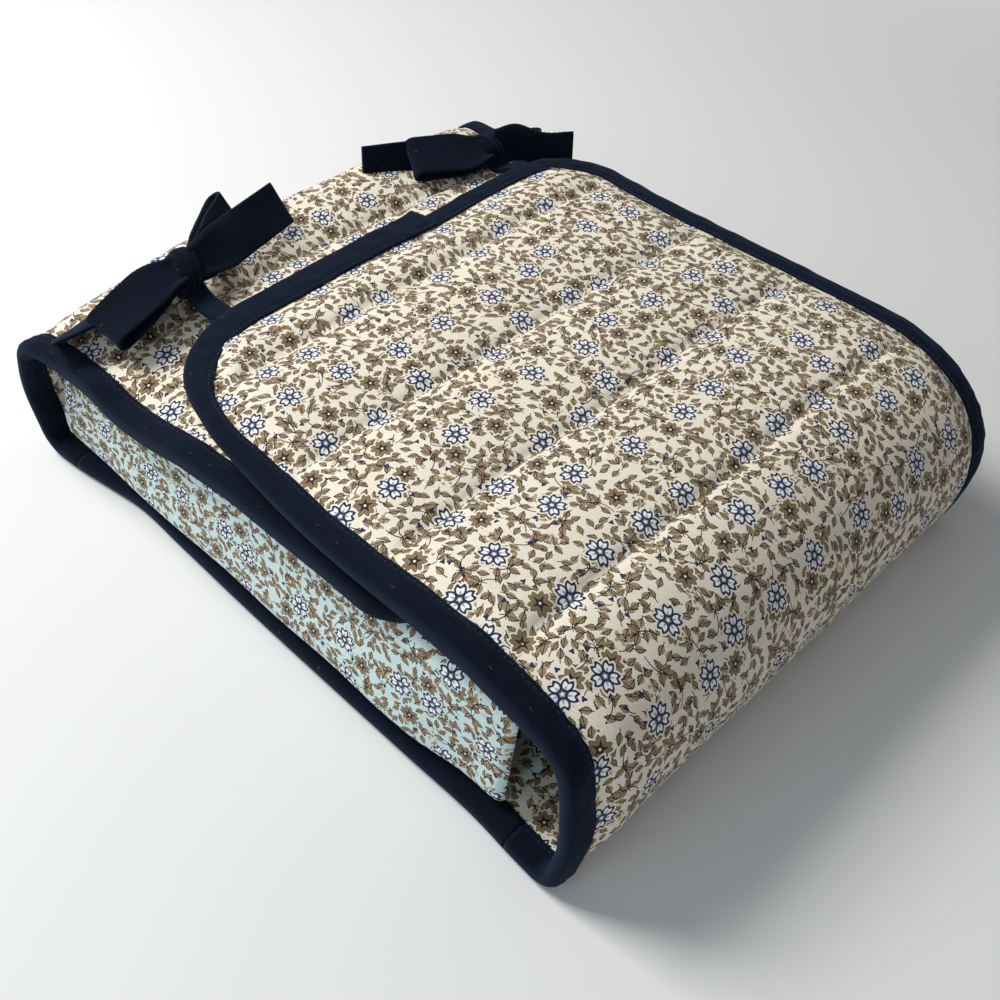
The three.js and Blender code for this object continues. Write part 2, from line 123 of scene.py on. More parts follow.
def ripples(first, second, wavelength, seed, count=7):
    """Soft unevenness: a sum of cosine waves of about one length in seeded directions."""
    draw = np.random.default_rng(SEED + seed)
    turns = draw.uniform(0, 2 * math.pi, count)
    phases = draw.uniform(0, 2 * math.pi, count)
    lengths = wavelength * draw.uniform(0.7, 1.5, count)
    total = 0
    for turn, phase, length in zip(turns, phases, lengths):
        total = total + np.cos(
            2 * math.pi * (first * math.cos(turn) + second * math.sin(turn)) / length + phase
        )
    return total / math.sqrt(count)


class FoldedStrip:
    """A strip of cloth bent along straight runs and round folds, worked out for whole arrays of places."""

    def __init__(self, corners, radii):
        corners = np.array(corners, float)
        steps = np.diff(corners, axis=0)
        headings = steps / np.linalg.norm(steps, axis=1)[:, None]
        runs, self.folds, place, start = [], [], corners[0], 0.0
        for i, heading in enumerate(headings):
            fold = i < len(radii)
            turn = math.acos(heading @ headings[i + 1]) if fold else 0
            setback = radii[i] * math.tan(turn / 2) if fold else 0
            finish = corners[i + 1] - heading * setback
            runs.append((start, *place, *heading, 0))
            start += np.linalg.norm(finish - place)
            if fold:
                runs.append((start, *finish, *heading, radii[i]))
                self.folds.append((start, start + radii[i] * turn))
                start += radii[i] * turn
                place = corners[i + 1] + headings[i + 1] * setback
        self.runs = np.array(runs)
        self.length = start

    def at(self, along):
        """Place and outward direction: on a straight run by its heading, and round a fold by its angle."""
        index = np.clip(np.searchsorted(self.runs[:, 0], along, side="right") - 1, 0, len(self.runs) - 1)
        begin, a, b, heading_a, heading_b, radius = np.moveaxis(self.runs[index], -1, 0)
        local = along - begin
        straight = radius == 0
        angle = np.where(straight, 0, local / np.where(straight, 1, radius))
        out_a = -heading_b * np.cos(angle) + heading_a * np.sin(angle)
        out_b = heading_a * np.cos(angle) + heading_b * np.sin(angle)
        place_a = np.where(straight, a + heading_a * local, a + heading_b * radius + out_a * radius)
        place_b = np.where(straight, b + heading_b * local, b - heading_a * radius + out_b * radius)
        return place_a, place_b, out_a, out_b


WRAP = FoldedStrip(WRAP_CORNERS, WRAP_RADII)
PANEL = FoldedStrip(PANEL_CORNERS, [PANEL_FOLD] * 4)
BACK_RIM, BACK_CORNER, FRONT_CORNER, SHOULDER = WRAP.folds
BACK_SEAM = BACK_CORNER[1] + SEAM_SHIFT
FRONT_SEAM = FRONT_CORNER[0] - SEAM_SHIFT
EDGE_TURN = (62, 150)


def across_blend(across, left, middle, right):
    """A curve across the wrap: its middle level, turning to the left and right levels towards the edges."""
    inner, outer = EDGE_TURN
    to_left, to_right = smooth(-inner, -outer, across), smooth(inner, outer, across)
    return middle + (left - middle) * to_left + (right - middle) * to_right


def wrap_lift(across, along, depth):
    """How far each flap rises or sags: curves along its two edges and its middle, blended across."""
    front = across_blend(
        across,
        spline(
            [-150, -128, -116, -92, -56, -20, 4, 28, 104],
            [0, -3.2, -3, -1.8, -3.5, -3.5, -2.5, -0.8, -1.5],
            depth,
        ),
        spline([-150, -120, -60, 0, 60, 104], [0, 0.3, 0.6, 0.6, 0.4, -0.5], depth),
        spline([-150, -128, -112, -60, -20, 28, 70, 104], [0, -1, -0.7, -0.8, -1.2, -1.6, 0, 0.8], depth),
    )
    back = across_blend(
        across,
        spline(
            [-88, -64, -40, -14, 12, 26, 40, 55, 71, 87, 104, 120, 150, 178],
            [-3, -3, -2.5, -3.4, -3.1, -3, -4, -4.8, -7.7, -9.5, -9.5, -6.5, -7, -8],
            depth,
        ),
        spline([-88, 0, 60, 110, 150, 178], [0, 0, 1, 3, 6, 7], depth),
        spline([-88, 0, 60, 110, 150, 178], [0, 0, 1, 2, 4, 4], depth),
    )
    on_front = smooth(SHOULDER[0] + 30, SHOULDER[1], along)
    on_back = smooth(BACK_RIM[1] + 45, BACK_RIM[0], along)
    return front * on_front + back * on_back


def wrap_bulge(across, along):
    """Outward swelling of walls and shoulder: curves along the left edge, the middle and the right edge."""
    places = [690, 711, 733, 745, 756, 765, 775, 787, 800, 815]
    front = across_blend(
        across,
        spline(places, [0, 2.3, 0.5, 1.7, 3, 1, -2, -3.5, -2.5, 0], along),
        spline(places, [0, 2, 3, 3, 2.5, 2, 1, 0.5, 0, 0], along),
        spline(places, [0, 3, 3.2, 2.5, 1.5, 0.5, -0.5, -1, -1, 0], along),
    )
    back = bump(along - 298, 24) * across_blend(across, 5.0, 4.0, 2.0)
    return front + back


def wrap_spread(across, along):
    """How far the left edge flares out: most at the back corner, less at the front, drawn in at the end."""
    back_places = [0, 110, 150, 190, 235, 262, 300, 335, 361, 381, 401, 440]
    back_flare = [0, 1, 3, 5, 6, 10, 10, 7, 4.8, 1.5, -1.5, -1]
    front_places = [480, 600, 645, 665, 690, 712, 735, 905, 975, 1040]
    front_flare = [0, 1, 1.2, 3, 4, 2, 0, 0, -4, -3]
    flare = spline(back_places + front_places, back_flare + front_flare, along)
    return -flare * smooth(-72, -150, across)


def wrap_point(across, along, height):
    """Wrap's flat places bent to shape: the strip's profile, pushed out by the bulge, lifted on the flaps."""
    across, along, height = np.broadcast_arrays(across, along, height)
    end_places = [-152, -104, -68, -26, 2, 44, 72, 100, 152]
    end_bow = spline(end_places, [-3.5, -3.5, -3, -0.5, 0, 0, 2, 2.5, 1.5], across)
    along = along + end_bow * smooth(WRAP.length - 110, WRAP.length, along)
    depth, level, out_depth, out_level = WRAP.at(along)
    out = height + wrap_bulge(across, along)
    placed = depth + out_depth * out
    lifted = level + out_level * out + wrap_lift(across, along, placed)
    return np.stack([across + wrap_spread(across, along), placed, lifted], -1)


def panel_point(across, along, height):
    """Cross panel bent to shape: sides pushed out at the foot, and its left top sagging to the back."""
    across, along, height = np.broadcast_arrays(across, along, height)
    flat, level, out_flat, out_level = PANEL.at(along)
    depth = PANEL_SHIFT - across
    standing = smooth(PANEL_HALF_SPAN - 27, PANEL_HALF_SPAN, np.abs(flat))
    standing = standing * (1 - smooth(20, PANEL_TOP - 8, level))
    foot = 1.5 + 3.5 * smooth(-125, -90, depth)
    pushed = standing * (foot + 0.5 * ripples(across, along, 70, 1))
    sag = spline([-140, -60, 0, 40, 75, 110, 158], [1, 3, 6, 7.5, 12, 11, 9], depth)
    sag = sag * smooth(-60, -130, flat) * smooth(18, PANEL_TOP, level)
    placed = flat + out_flat * height + np.sign(flat) * pushed
    return np.stack([placed, depth, level + out_level * height - sag], -1)


# Meshes


def grid_faces(rows, columns, around=False):
    """Faces of a grid of points, closed round its columns where asked."""
    index = np.arange(rows * columns).reshape(rows, columns)
    if around:
        index = np.concatenate([index, index[:, :1]], 1)
    return np.stack([index[:-1, :-1], index[:-1, 1:], index[1:, 1:], index[1:, :-1]], -1).reshape(-1, 4)


def outward_volume(points, faces):
    """Six times the volume that four-sided faces hold, positive where they point out."""
    a, b, c, d = (points[faces[:, i]] for i in range(4))
    return np.einsum("ij,ij->", a, np.cross(b, c)) + np.einsum("ij,ij->", a, np.cross(c, d))


def cloth_object(name, points, faces, material, flat=None, caps=()):
    """A mesh from points in millimetres, its faces turned outward, with flat places as its UV map."""
    points = np.asarray(points, float).reshape(-1, 3)
    flip = outward_volume(points, faces) < 0
    listed = (faces[:, ::-1] if flip else faces).tolist()
    for cap in caps:
        listed.append(list(cap)[::-1] if flip else list(cap))
    mesh = bpy.data.meshes.new(name)
    mesh.from_pydata((points * MM).tolist(), [], listed)
    if flat is not None:
        corners = np.empty(len(mesh.loops), np.int32)
        mesh.loops.foreach_get("vertex_index", corners)
        layer = mesh.uv_layers.new(name="flat")
        places = np.asarray(flat, float).reshape(-1, 2)[corners] * UV_PER_MM
        layer.data.foreach_set("uv", places.astype(np.float32).ravel())
    rounded = np.arange(len(mesh.polygons)) < len(faces)
    mesh.polygons.foreach_set("use_smooth", rounded)
    mesh.materials.append(material)
    piece = bpy.data.objects.new(name, mesh)
    bpy.context.scene.collection.objects.link(piece)
    return piece


def pad_object(name, point, across, along, top, bottom, material):
    """A closed pad: its upper face out and its lower face back in each row, joined at both ends."""
    rows, columns = across.shape
    upper = point(across, along, top)
    lower = point(across, along, bottom)
    ring = np.concatenate([upper, lower[:, ::-1]], 1)
    flat = np.stack([across, along], -1)
    flat = np.concatenate([flat, flat[:, ::-1]], 1)
    loop = 2 * columns
    faces = grid_faces(rows, loop, around=True)
    first = np.arange(columns - 1)
    end = np.stack([first, loop - 1 - first, loop - 2 - first, first + 1], -1)
    last = end[:, ::-1] + (rows - 1) * loop
    return cloth_object(name, ring, np.concatenate([faces, end, last]), material, flat)


def tube_object(name, rings, material, flat=None):
    """A closed tube from rings of points, with a flat cap on each end."""
    rows, columns = rings.shape[:2]
    caps = [range(columns)[::-1], range((rows - 1) * columns, rows * columns)]
    return cloth_object(name, rings, grid_faces(rows, columns, around=True), material, flat, caps)


def distances(line):
    """Distance travelled along a line of points, from its first point to each."""
    return np.concatenate([[0], np.cumsum(np.linalg.norm(np.diff(line, axis=0), axis=1))])


def read_line(line, known, wanted):
    """Points of a line at wanted places, read between the known places of its own points."""
    return np.stack([np.interp(wanted, known, line[:, i]) for i in range(3)], -1)


def unit(vectors):
    """Vectors of length one."""
    return vectors / np.maximum(np.linalg.norm(vectors, axis=-1, keepdims=True), 1e-9)


def stitch_object(name, rows, material, length=2.3, radius=0.24, rise=0.28):
    """Stitches along rows of places: each is a short strand that bows up between its two holes."""
    part = np.linspace(-1, 1, 5)
    angle = np.linspace(0, 2 * math.pi, 6, endpoint=False)
    strands = []
    for places, tangents, normals in rows:
        side = np.cross(tangents, normals)
        spine = places[:, None] + tangents[:, None] * (part * length / 2)[:, None]
        spine = spine + normals[:, None] * (rise * (1 - part**2) - 0.6 * rise)[:, None]
        girth = radius * np.sqrt(np.maximum(1 - part**4, 0.03))
        ring = side[:, None, None] * np.cos(angle)[:, None]
        ring = ring + normals[:, None, None] * np.sin(angle)[:, None]
        strands.append(spine[:, :, None] + ring * girth[:, None, None])
    strands = np.concatenate(strands)
    faces = grid_faces(len(part), len(angle), around=True)
    last = (len(part) - 1) * len(angle)
    closing = np.array([[3, 2, 1, 0], [5, 4, 3, 0], [0, 1, 2, 3], [0, 3, 4, 5]])
    closing[2:] += last
    faces = np.concatenate([faces, closing])
    step = np.arange(len(strands)) * len(part) * len(angle)
    return cloth_object(name, strands, (faces[None] + step[:, None, None]).reshape(-1, 4), material)


def row_of_stitches(line, beside, pitch=3.1):
    """Places, directions and normals at an even pitch along a line, with a second line beside it."""
    travelled = distances(line)
    wanted = np.arange(pitch, travelled[-1] - pitch, pitch)
    places = read_line(line, travelled, wanted)
    tangents = unit(read_line(np.gradient(line, travelled, axis=0), travelled, wanted))
    normals = unit(np.cross(tangents, read_line(beside, travelled, wanted) - places))
    return places, tangents, normals


def outward_row(row, middles):
    """Stitches turned so that each stands off its own middle point."""
    places, tangents, normals = row
    side = np.sign(np.einsum("ij,ij->i", normals, places - middles))[:, None]
    return places, tangents, normals * np.where(side == 0, 1, side)


def nearest_points(line, places):
    """The point of a line that is nearest to each place."""
    return line[np.argmin(np.linalg.norm(places[:, None] - line[None], axis=2), axis=1)]


def spread_points(line, count):
    """A number of points along a line, spread evenly over its own points."""
    return read_line(line, np.linspace(0, 1, len(line)), np.linspace(0, 1, count))


# Shader trees


PETALS = 5
INKS = ("Ground", "Shadow", "Leaf", "Stalk", "Blue", "Petal", "Brown")
# Each scattered motif: the size of its cells in millimetres, their scatter, and a shift that sets it apart
MOTIFS = {
    "blue": (29.0, 0.5, (3.1, 8.7)),
    "brown": (27.0, 0.55, (171.3, 94.2)),
    "leaves": (5.9, 0.62, (401.0, 77.0)),
    "sparse_leaves": (7.0, 0.8, (523.0, 19.0)),
    "sprigs": (15.5, 0.65, (23.0, 619.0)),
    "buds": (10.5, 0.95, (811.0, 333.0)),
    "dots": (24.0, 0.8, (67.0, 145.0)),
}
SHEEN_ROUGHNESS = 0.5
LINT_COLOUR = (0.30, 0.32, 0.36, 1)


class Field:
    """A value in a shader tree that adds, multiplies and compares as numbers do."""

    def __init__(self, tree, socket):
        self.tree, self.socket = tree, socket

    def math(self, operation, *others):
        node = self.tree.nodes.new("ShaderNodeMath")
        node.operation = operation
        for slot, value in zip(node.inputs, (self, *others)):
            put(self.tree, slot, value)
        return Field(self.tree, node.outputs[0])

    def __add__(self, other):
        return self.math("ADD", other)

    def __sub__(self, other):
        return self.math("SUBTRACT", other)

    def __rsub__(self, other):
        return (self * -1) + other

    def __mul__(self, other):
        return self.math("MULTIPLY", other)

    __radd__ = __add__
    __rmul__ = __mul__

    def __lt__(self, other):
        return self.math("LESS_THAN", other)

    def __gt__(self, other):
        return self.math("GREATER_THAN", other)

    def __abs__(self):
        return self.math("ABSOLUTE")

    def cos(self):
        return self.math("COSINE")

    def either(self, other):
        return self.math("MAXIMUM", other)


def put(tree, slot, value):
    """Joins a field or socket to an input, or sets the input to a plain value."""
    if isinstance(value, Field):
        value = value.socket
    if isinstance(value, bpy.types.NodeSocket):
        tree.links.new(value, slot)
    else:
        slot.default_value = value


def put_all(tree, slots, values):
    """Joins or sets several inputs, given by name or number."""
    for name, value in values.items():
        put(tree, slots[name], value)


def add_node(tree, kind, inputs=None, **settings):
    """A node with its settings and its inputs given by name or number."""
    node = tree.nodes.new(kind)
    for name, value in settings.items():
        setattr(node, name, value)
    put_all(tree, node.inputs, inputs or {})
    return node


def fields(tree, node):
    """Outputs of a node by name."""
    return {socket.name: Field(tree, socket) for socket in node.outputs}


def new_group(name, inputs, outputs):
    """An empty shader group with named sockets; returns its tree, its inputs as fields and its outputs."""
    tree = bpy.data.node_groups.new(name, "ShaderNodeTree")
    for way, sockets in (("INPUT", inputs), ("OUTPUT", outputs)):
        for label, kind in sockets:
            tree.interface.new_socket(label, in_out=way, socket_type=f"NodeSocket{kind}")
    entry = tree.nodes.new("NodeGroupInput")
    leave = tree.nodes.new("NodeGroupOutput")
    return tree, fields(tree, entry), leave.inputs


def use_group(tree, name, inputs):
    """Outputs of a placed copy of a group that exists, as fields."""
    node = tree.nodes.new("ShaderNodeGroup")
    node.node_tree = bpy.data.node_groups[name]
    put_all(tree, node.inputs, inputs)
    return fields(tree, node)


def vector_math(tree, operation, vector, other):
    """A vector added to or lessened by another, or scaled by a number."""
    node = add_node(tree, "ShaderNodeVectorMath", {0: vector}, operation=operation)
    put(tree, node.inputs["Scale" if operation == "SCALE" else 1], other)
    return node.outputs[0]


def split(tree, vector):
    """The two flat parts of a vector as fields."""
    node = add_node(tree, "ShaderNodeSeparateXYZ", {"Vector": vector})
    return Field(tree, node.outputs["X"]), Field(tree, node.outputs["Y"])


def polar(tree, vector):
    """Distance from the middle and angle round it."""
    x, y = split(tree, vector)
    return (x * x + y * y).math("SQRT"), y.math("ARCTAN2", x)


def petal_turn(angle):
    """Angle from the middle line of the nearest petal."""
    petal = 2 * math.pi / PETALS
    return ((angle * (PETALS / (2 * math.pi))).math("FRACT") - 0.5) * petal


def make_cells_group():
    """Scattered motif places: the nearest cell centre gives a turned place in millimetres and a chance."""
    tree, given, out = new_group(
        "motif_cells",
        [("Place", "Vector"), ("Shift", "Vector"), ("Size", "Float"), ("Scatter", "Float")],
        [("Local", "Vector"), ("Chance", "Float")],
    )
    moved = vector_math(tree, "ADD", given["Place"], given["Shift"])
    scale = given["Size"].math("POWER", -1.0)
    cells = add_node(
        tree,
        "ShaderNodeTexVoronoi",
        {"Vector": moved, "Scale": scale, "Randomness": given["Scatter"]},
        voronoi_dimensions="2D",
        feature="F1",
    )
    offset = vector_math(tree, "SUBTRACT", moved, cells.outputs["Position"])
    draws = add_node(tree, "ShaderNodeSeparateColor", {"Color": cells.outputs["Color"]})
    turned = add_node(
        tree,
        "ShaderNodeVectorRotate",
        {"Vector": offset, "Angle": Field(tree, draws.outputs[0]) * (2 * math.pi)},
        rotation_type="Z_AXIS",
    )
    put_all(tree, out, {"Local": turned.outputs[0], "Chance": draws.outputs[1]})


def make_leaf_group():
    """A leaf: a lens fuller towards its bent stalk, with a dark rim on one side and a pale rim opposite."""
    tree, given, out = new_group(
        "leaf",
        [("Local", "Vector"), ("Length", "Float"), ("Breadth", "Float")],
        [("Fill", "Float"), ("Line", "Float"), ("Light", "Float")],
    )
    x, y = split(tree, given["Local"])
    part = x.math("DIVIDE", given["Length"])
    teeth = (part * 15).cos() * 0.13 + 1
    half = (1 - part * part) * (1 - part * 0.4) * given["Breadth"] * teeth
    inside = (half - abs(y)) * (abs(part) < 1)
    fill = inside > 0
    rim = fill * (inside < 0.5) * (y < 0.3)
    rib = (abs(y) < 0.17) * (part < 0.6)
    stalk = (abs(y + (part + 1) * (part + 1) * 0.7) < 0.2) * (part < -0.7) * (part > -2.0)
    line = rim.either(stalk).either(rib * fill)
    light = ((half - abs(y)) > -0.45) * (abs(part) < 1) * (y > 0)
    put_all(tree, out, {"Fill": fill, "Line": line, "Light": light})


def make_sprig_group():
    """A sprig: a bent stalk with leaves set along it, each leaf in its own turned and moved place."""
    tree, given, out = new_group("sprig", [("Local", "Vector")], [("Fill", "Float"), ("Line", "Float")])
    x, y = split(tree, given["Local"])
    stalk = (abs(y - x * x * 0.06) < 0.24) * (x > -6.4) * (x < 4.4)
    fill, line = None, stalk
    for place, turn in [((2.9, 2.9), 48), ((2.6, -2.0), -52), ((5.6, 1.6), 14)]:
        moved = add_node(
            tree,
            "ShaderNodeMapping",
            {"Vector": given["Local"], "Location": (*place, 0), "Rotation": (0, 0, math.radians(turn))},
            vector_type="TEXTURE",
        )
        leaf = use_group(tree, "leaf", {"Local": moved.outputs[0], "Length": 2.6, "Breadth": 1.45})
        fill = leaf["Fill"] if fill is None else fill.either(leaf["Fill"])
        line = (line * (1 - leaf["Fill"])).either(leaf["Line"])
    put_all(tree, out, {"Fill": fill, "Line": line})


def make_blossom_group():
    """A flower: rounded petals set round a ring, each notched at its tip and outlined."""
    tree, given, out = new_group(
        "blossom",
        [("Local", "Vector"), ("Radius", "Float"), ("Rim", "Float"), ("Star", "Float")],
        [("Inside", "Float"), ("Line", "Float"), ("Vein", "Float"), ("Heart", "Float"), ("Halo", "Float")],
    )
    distance, angle = polar(tree, given["Local"])
    radius = given["Radius"]
    turn = petal_turn(angle)
    tip = distance * turn.cos() - radius * 0.58
    side = abs(distance * turn.math("SINE"))
    notch = (radius * 0.2 - side).math("MAXIMUM", 0.0) * (tip > 0) * 1.15
    reach = radius * 0.4 - notch
    spread = (tip * tip * 0.85 + side * side * 1.25).math("SQRT")
    inside = (reach - spread) > 0
    rim = inside * ((reach - spread) < given["Rim"])
    star = radius * given["Star"]
    vein = (side < (star - distance) * 0.3) * (distance > radius * 0.1)
    heart = distance < radius * 0.1
    halo = ((reach + 0.8 - spread) > 0).either(distance < radius * 0.5)
    put_all(tree, out, {"Inside": inside, "Line": rim, "Vein": vein, "Heart": heart, "Halo": halo})


def mix(tree, mask, under, over):
    """One colour over another where the mask is one."""
    return add_node(tree, "ShaderNodeMix", {0: mask, 6: under, 7: over}, data_type="RGBA").outputs[2]


def make_print_group():
    """Small floral print: loose leaves, sprigs, buds, rings of dots and two sorts of blossom on a ground."""
    tree, given, out = new_group(
        "floral_print", [("Place", "Vector"), *[(ink, "Color") for ink in INKS]], [("Color", "Color")]
    )

    def cells(motif):
        size, scatter, shift = MOTIFS[motif]
        placed = {"Place": given["Place"], "Shift": (*shift, 0), "Size": size, "Scatter": scatter}
        found = use_group(tree, "motif_cells", placed)
        return found["Local"], found["Chance"]

    def coats(colour, *masked_inks):
        for mask, ink in masked_inks:
            colour = mix(tree, mask, colour, given[ink])
        return colour

    local, _ = cells("blue")
    blue = use_group(tree, "blossom", {"Local": local, "Radius": 6.6, "Rim": 0.86, "Star": 0.6})
    local, _ = cells("brown")
    brown = use_group(tree, "blossom", {"Local": local, "Radius": 5.4, "Rim": 0.24, "Star": 0.66})
    brown_free = 1 - blue["Halo"]
    open_ground = brown_free * (1 - brown["Halo"])
    colour = given["Ground"]
    for motif, dropped in (("leaves", 0.0), ("sparse_leaves", 0.2)):
        local, chance = cells(motif)
        leaf = use_group(tree, "leaf", {"Local": local, "Length": 2.5, "Breadth": 1.42})
        free = open_ground * (chance > dropped)
        light, fill, line = leaf["Light"] * free * 0.6, leaf["Fill"] * free, leaf["Line"] * free
        colour = coats(colour, (light, "Petal"), (fill, "Leaf"), (line, "Stalk"))
    local, _ = cells("sprigs")
    sprig = use_group(tree, "sprig", {"Local": local})
    colour = coats(colour, (sprig["Fill"] * open_ground, "Leaf"), (sprig["Line"] * open_ground, "Stalk"))
    local, chance = cells("buds")
    distance, angle = polar(tree, local)
    bud = (distance < (angle * 3).cos() * 0.3 + 0.95) * (chance > 0.3) * open_ground
    local, _ = cells("dots")
    distance, angle = polar(tree, local)
    turn = petal_turn(angle)
    away = distance * turn.cos() - 2.5
    side = distance * turn.math("SINE")
    dots = ((away * away + side * side) < 0.5).either(distance < 0.8) * open_ground
    colour = coats(
        colour,
        (bud, "Blue"),
        (dots, "Shadow"),
        (brown["Inside"] * brown_free, "Brown"),
        (brown["Line"].either(brown["Vein"]) * brown_free, "Stalk"),
        (brown["Heart"] * brown_free, "Petal"),
        (blue["Halo"], "Ground"),
        (blue["Inside"], "Petal"),
        (blue["Vein"] * 0.6, "Blue"),
        (blue["Line"], "Blue"),
        (blue["Heart"], "Petal"),
    )
    put(tree, out["Color"], colour)


def make_weave_group():
    """Plain weave: the product of two sine waves across and along the cloth, uneven by thread."""
    tree, given, out = new_group(
        "plain_weave", [("Place", "Vector"), ("Pitch", "Float")], [("Height", "Float"), ("Slub", "Float")]
    )
    x, y = split(tree, given["Place"])
    pitch = given["Pitch"]
    step = 2 * math.pi
    across = (x.math("DIVIDE", pitch) * step).math("SINE")
    along = (y.math("DIVIDE", pitch) * step).math("SINE")
    slub = add_node(tree, "ShaderNodeTexNoise", {"Vector": given["Place"], "Scale": 0.9, "Detail": 4.0})
    uneven = Field(tree, slub.outputs["Fac"])
    put_all(tree, out, {"Height": across * along * 0.5 + uneven, "Slub": uneven})


def make_lint_group():
    """Lint: tiny specks and short hairs, as thin stretched cells kept by chance."""
    tree, given, out = new_group("lint", [("Place", "Vector"), ("Size", "Float")], [("Mask", "Float")])
    placed = {"Place": given["Place"], "Shift": (91.0, 17.0, 0), "Size": given["Size"], "Scatter": 1.0}
    found = use_group(tree, "motif_cells", placed)
    x, y = split(tree, found["Local"])
    chance = found["Chance"]
    hair = (abs(y - x * x * 0.3) < 0.07) * (abs(x) < 0.9) * (chance > 0.88)
    speck = ((x * x + y * y) < 0.03) * (chance < 0.1)
    put(tree, out["Mask"], hair.either(speck))


def new_material(name, values):
    """A material with plain values on its shader's own sockets; returns it with its tree and shader."""
    material = bpy.data.materials.new(name)
    material.use_nodes = True
    shader = material.node_tree.nodes["Principled BSDF"]
    for label, value in values.items():
        shader.inputs[label].default_value = value
    return material, material.node_tree, shader


def start_cloth(name, roughness, gloss, sheen, tint):
    """A cloth with plain roughness, gloss and sheen; returns its tree, its shader and its flat place."""
    values = {
        "Roughness": roughness,
        "Specular IOR Level": gloss,
        "Sheen Weight": sheen,
        "Sheen Roughness": SHEEN_ROUGHNESS,
        "Sheen Tint": (*tint, 1),
    }
    _, tree, shader = new_material(name, values)
    uv = add_node(tree, "ShaderNodeUVMap", uv_map="flat")
    return tree, shader, vector_math(tree, "SCALE", uv.outputs["UV"], 1 / UV_PER_MM)


def weave_normal(tree, shader, place, pitch, strength, depth):
    """Raises the weave on a material and returns its uneven threads."""
    weave = use_group(tree, "plain_weave", {"Place": place, "Pitch": pitch})
    raised = {"Strength": strength, "Distance": depth, "Height": weave["Height"]}
    put(tree, shader.inputs["Normal"], add_node(tree, "ShaderNodeBump", raised).outputs["Normal"])
    return weave["Slub"]


def colour_value(colour):
    """A colour property as four numbers."""
    return (*colour, 1)


def print_material(name, ground, colours):
    """Printed cotton: the floral print, slightly uneven in its dye, on a fine weave."""
    tree, shader, place = start_cloth(name, 0.88, 0.2, 0.08, (1, 0.98, 0.94))
    inks = {ink: colour_value(getattr(colours, ink.lower())) for ink in INKS}
    inks["Ground"] = colour_value(ground)
    printed = use_group(tree, "floral_print", {"Place": place, **inks})
    slub = weave_normal(tree, shader, place, 0.5, 0.35, 0.0002)
    fade = slub * 0.3 + 0.85
    put(tree, shader.inputs["Base Color"], vector_math(tree, "SCALE", printed["Color"], fade))


def navy_material(name, colours):
    """Navy cotton: dark threads with a paler slub, a little lint, and a soft blue sheen."""
    tree, shader, place = start_cloth(name, 0.85, 0.06, 0.1, (0.36, 0.56, 1.0))
    slub = weave_normal(tree, shader, place, 0.7, 0.5, 0.0003)
    cloth = mix(tree, slub.math("POWER", 2.0), colour_value(colours.navy), colour_value(colours.navy_worn))
    lint = use_group(tree, "lint", {"Place": place, "Size": 9.0})
    colour = mix(tree, lint["Mask"] * 0.4, cloth, LINT_COLOUR)
    put(tree, shader.inputs["Base Color"], colour)


def thread_material(name, colour):
    """Sewing thread: two plies seen as a fine stripe round the strand."""
    values = {"Roughness": 0.7, "Specular IOR Level": 0.2, "Sheen Weight": 0.1}
    _, tree, shader = new_material(name, values)
    place = add_node(tree, "ShaderNodeTexCoord")
    plies = add_node(
        tree, "ShaderNodeTexWave", {"Vector": place.outputs["Object"], "Scale": 900.0, "Distortion": 2.0}
    )
    dark = tuple(0.6 * part for part in colour)
    striped = mix(tree, plies.outputs["Fac"], colour_value(dark), colour_value(colour))
    put(tree, shader.inputs["Base Color"], striped)


# Wrap


FRONT_LINES = [804.6, 866.7, 926.4, 989.7]
BACK_LINES = [21.5, 85.0, 148.5, 212.0, 262.0]
LEFT_CORNER = 74
RIGHT_CORNER = 42
BACK_FLAP_CORNER = 28
FRONT_HEM = FRONT_CORNER[1] + 2
BACK_HEM = 318.0
HEM = 12.0
LAP_PLACE = 37
ROLL_OUT = 6
THINNED = 3.6
SHEET_STEP = 4.0
SHEET_SCALE = 0.01
SHEET_FRAMES = 32
SHEET_PRESSURE = 0.12
CROSS_FULLNESS = 1.05
LONG_FULLNESS = 1.012
ARCH_SHARE = 0.68
PUCKER_LIMIT = 1.35
GROOVE_DEPTH = 0.9
GROOVE_WIDTH = 2.3
STITCH_SEAT = 0.45
LINE_DRIFT = 0.7
PAD_INSET = 1.2
PAD_STEP = 2.2
PAD_COLUMNS = 123
PRESSED_REACH = 13
FILLED_REACH = (10, 26)
COVER_RIPPLE = 0.3
CORNER_REACH = 40
LEG_POINTS = 11
NOSE_POINTS = 9
BINDING_STITCH_INSET = 1.9


def corner_inset(distance, radius):
    """How far a round corner draws in the edge at a distance from the free end."""
    reach = np.clip(radius - distance, 0, radius)
    return radius - np.sqrt(np.maximum(radius**2 - reach**2, 0))


def edge_span(along, inset):
    """Left and right edges of the wrap, with round corners at the free ends, drawn in by an inset."""
    from_front = WRAP.length - inset - along
    from_back = along - inset
    left = HALF_WIDTH - inset - corner_inset(from_front, LEFT_CORNER - inset)
    right = HALF_WIDTH - inset - corner_inset(from_front, RIGHT_CORNER - inset)
    back = corner_inset(from_back, BACK_FLAP_CORNER - inset)
    return -(left - back), right - back


def line_drift(across, along):
    """How far the sewing wanders along the wrap from a straight line across it, nought at the free ends."""
    held = smooth(1, 18, np.minimum(along, WRAP.length - along))
    return LINE_DRIFT * held * ripples(across, along * 0.2, 110, 6)


def runs_between(marks, count):
    """Places from the first mark to the last that fall on every mark, with a count of steps for each run."""
    runs = [np.linspace(a, b, count(b - a) + 1)[:-1] for a, b in zip(marks[:-1], marks[1:])]
    return np.concatenate([*runs, marks[-1:]])


def cover_ripple(across, along):
    """Soft unevenness of the cover."""
    return COVER_RIPPLE * ripples(across, along, 60, 4)


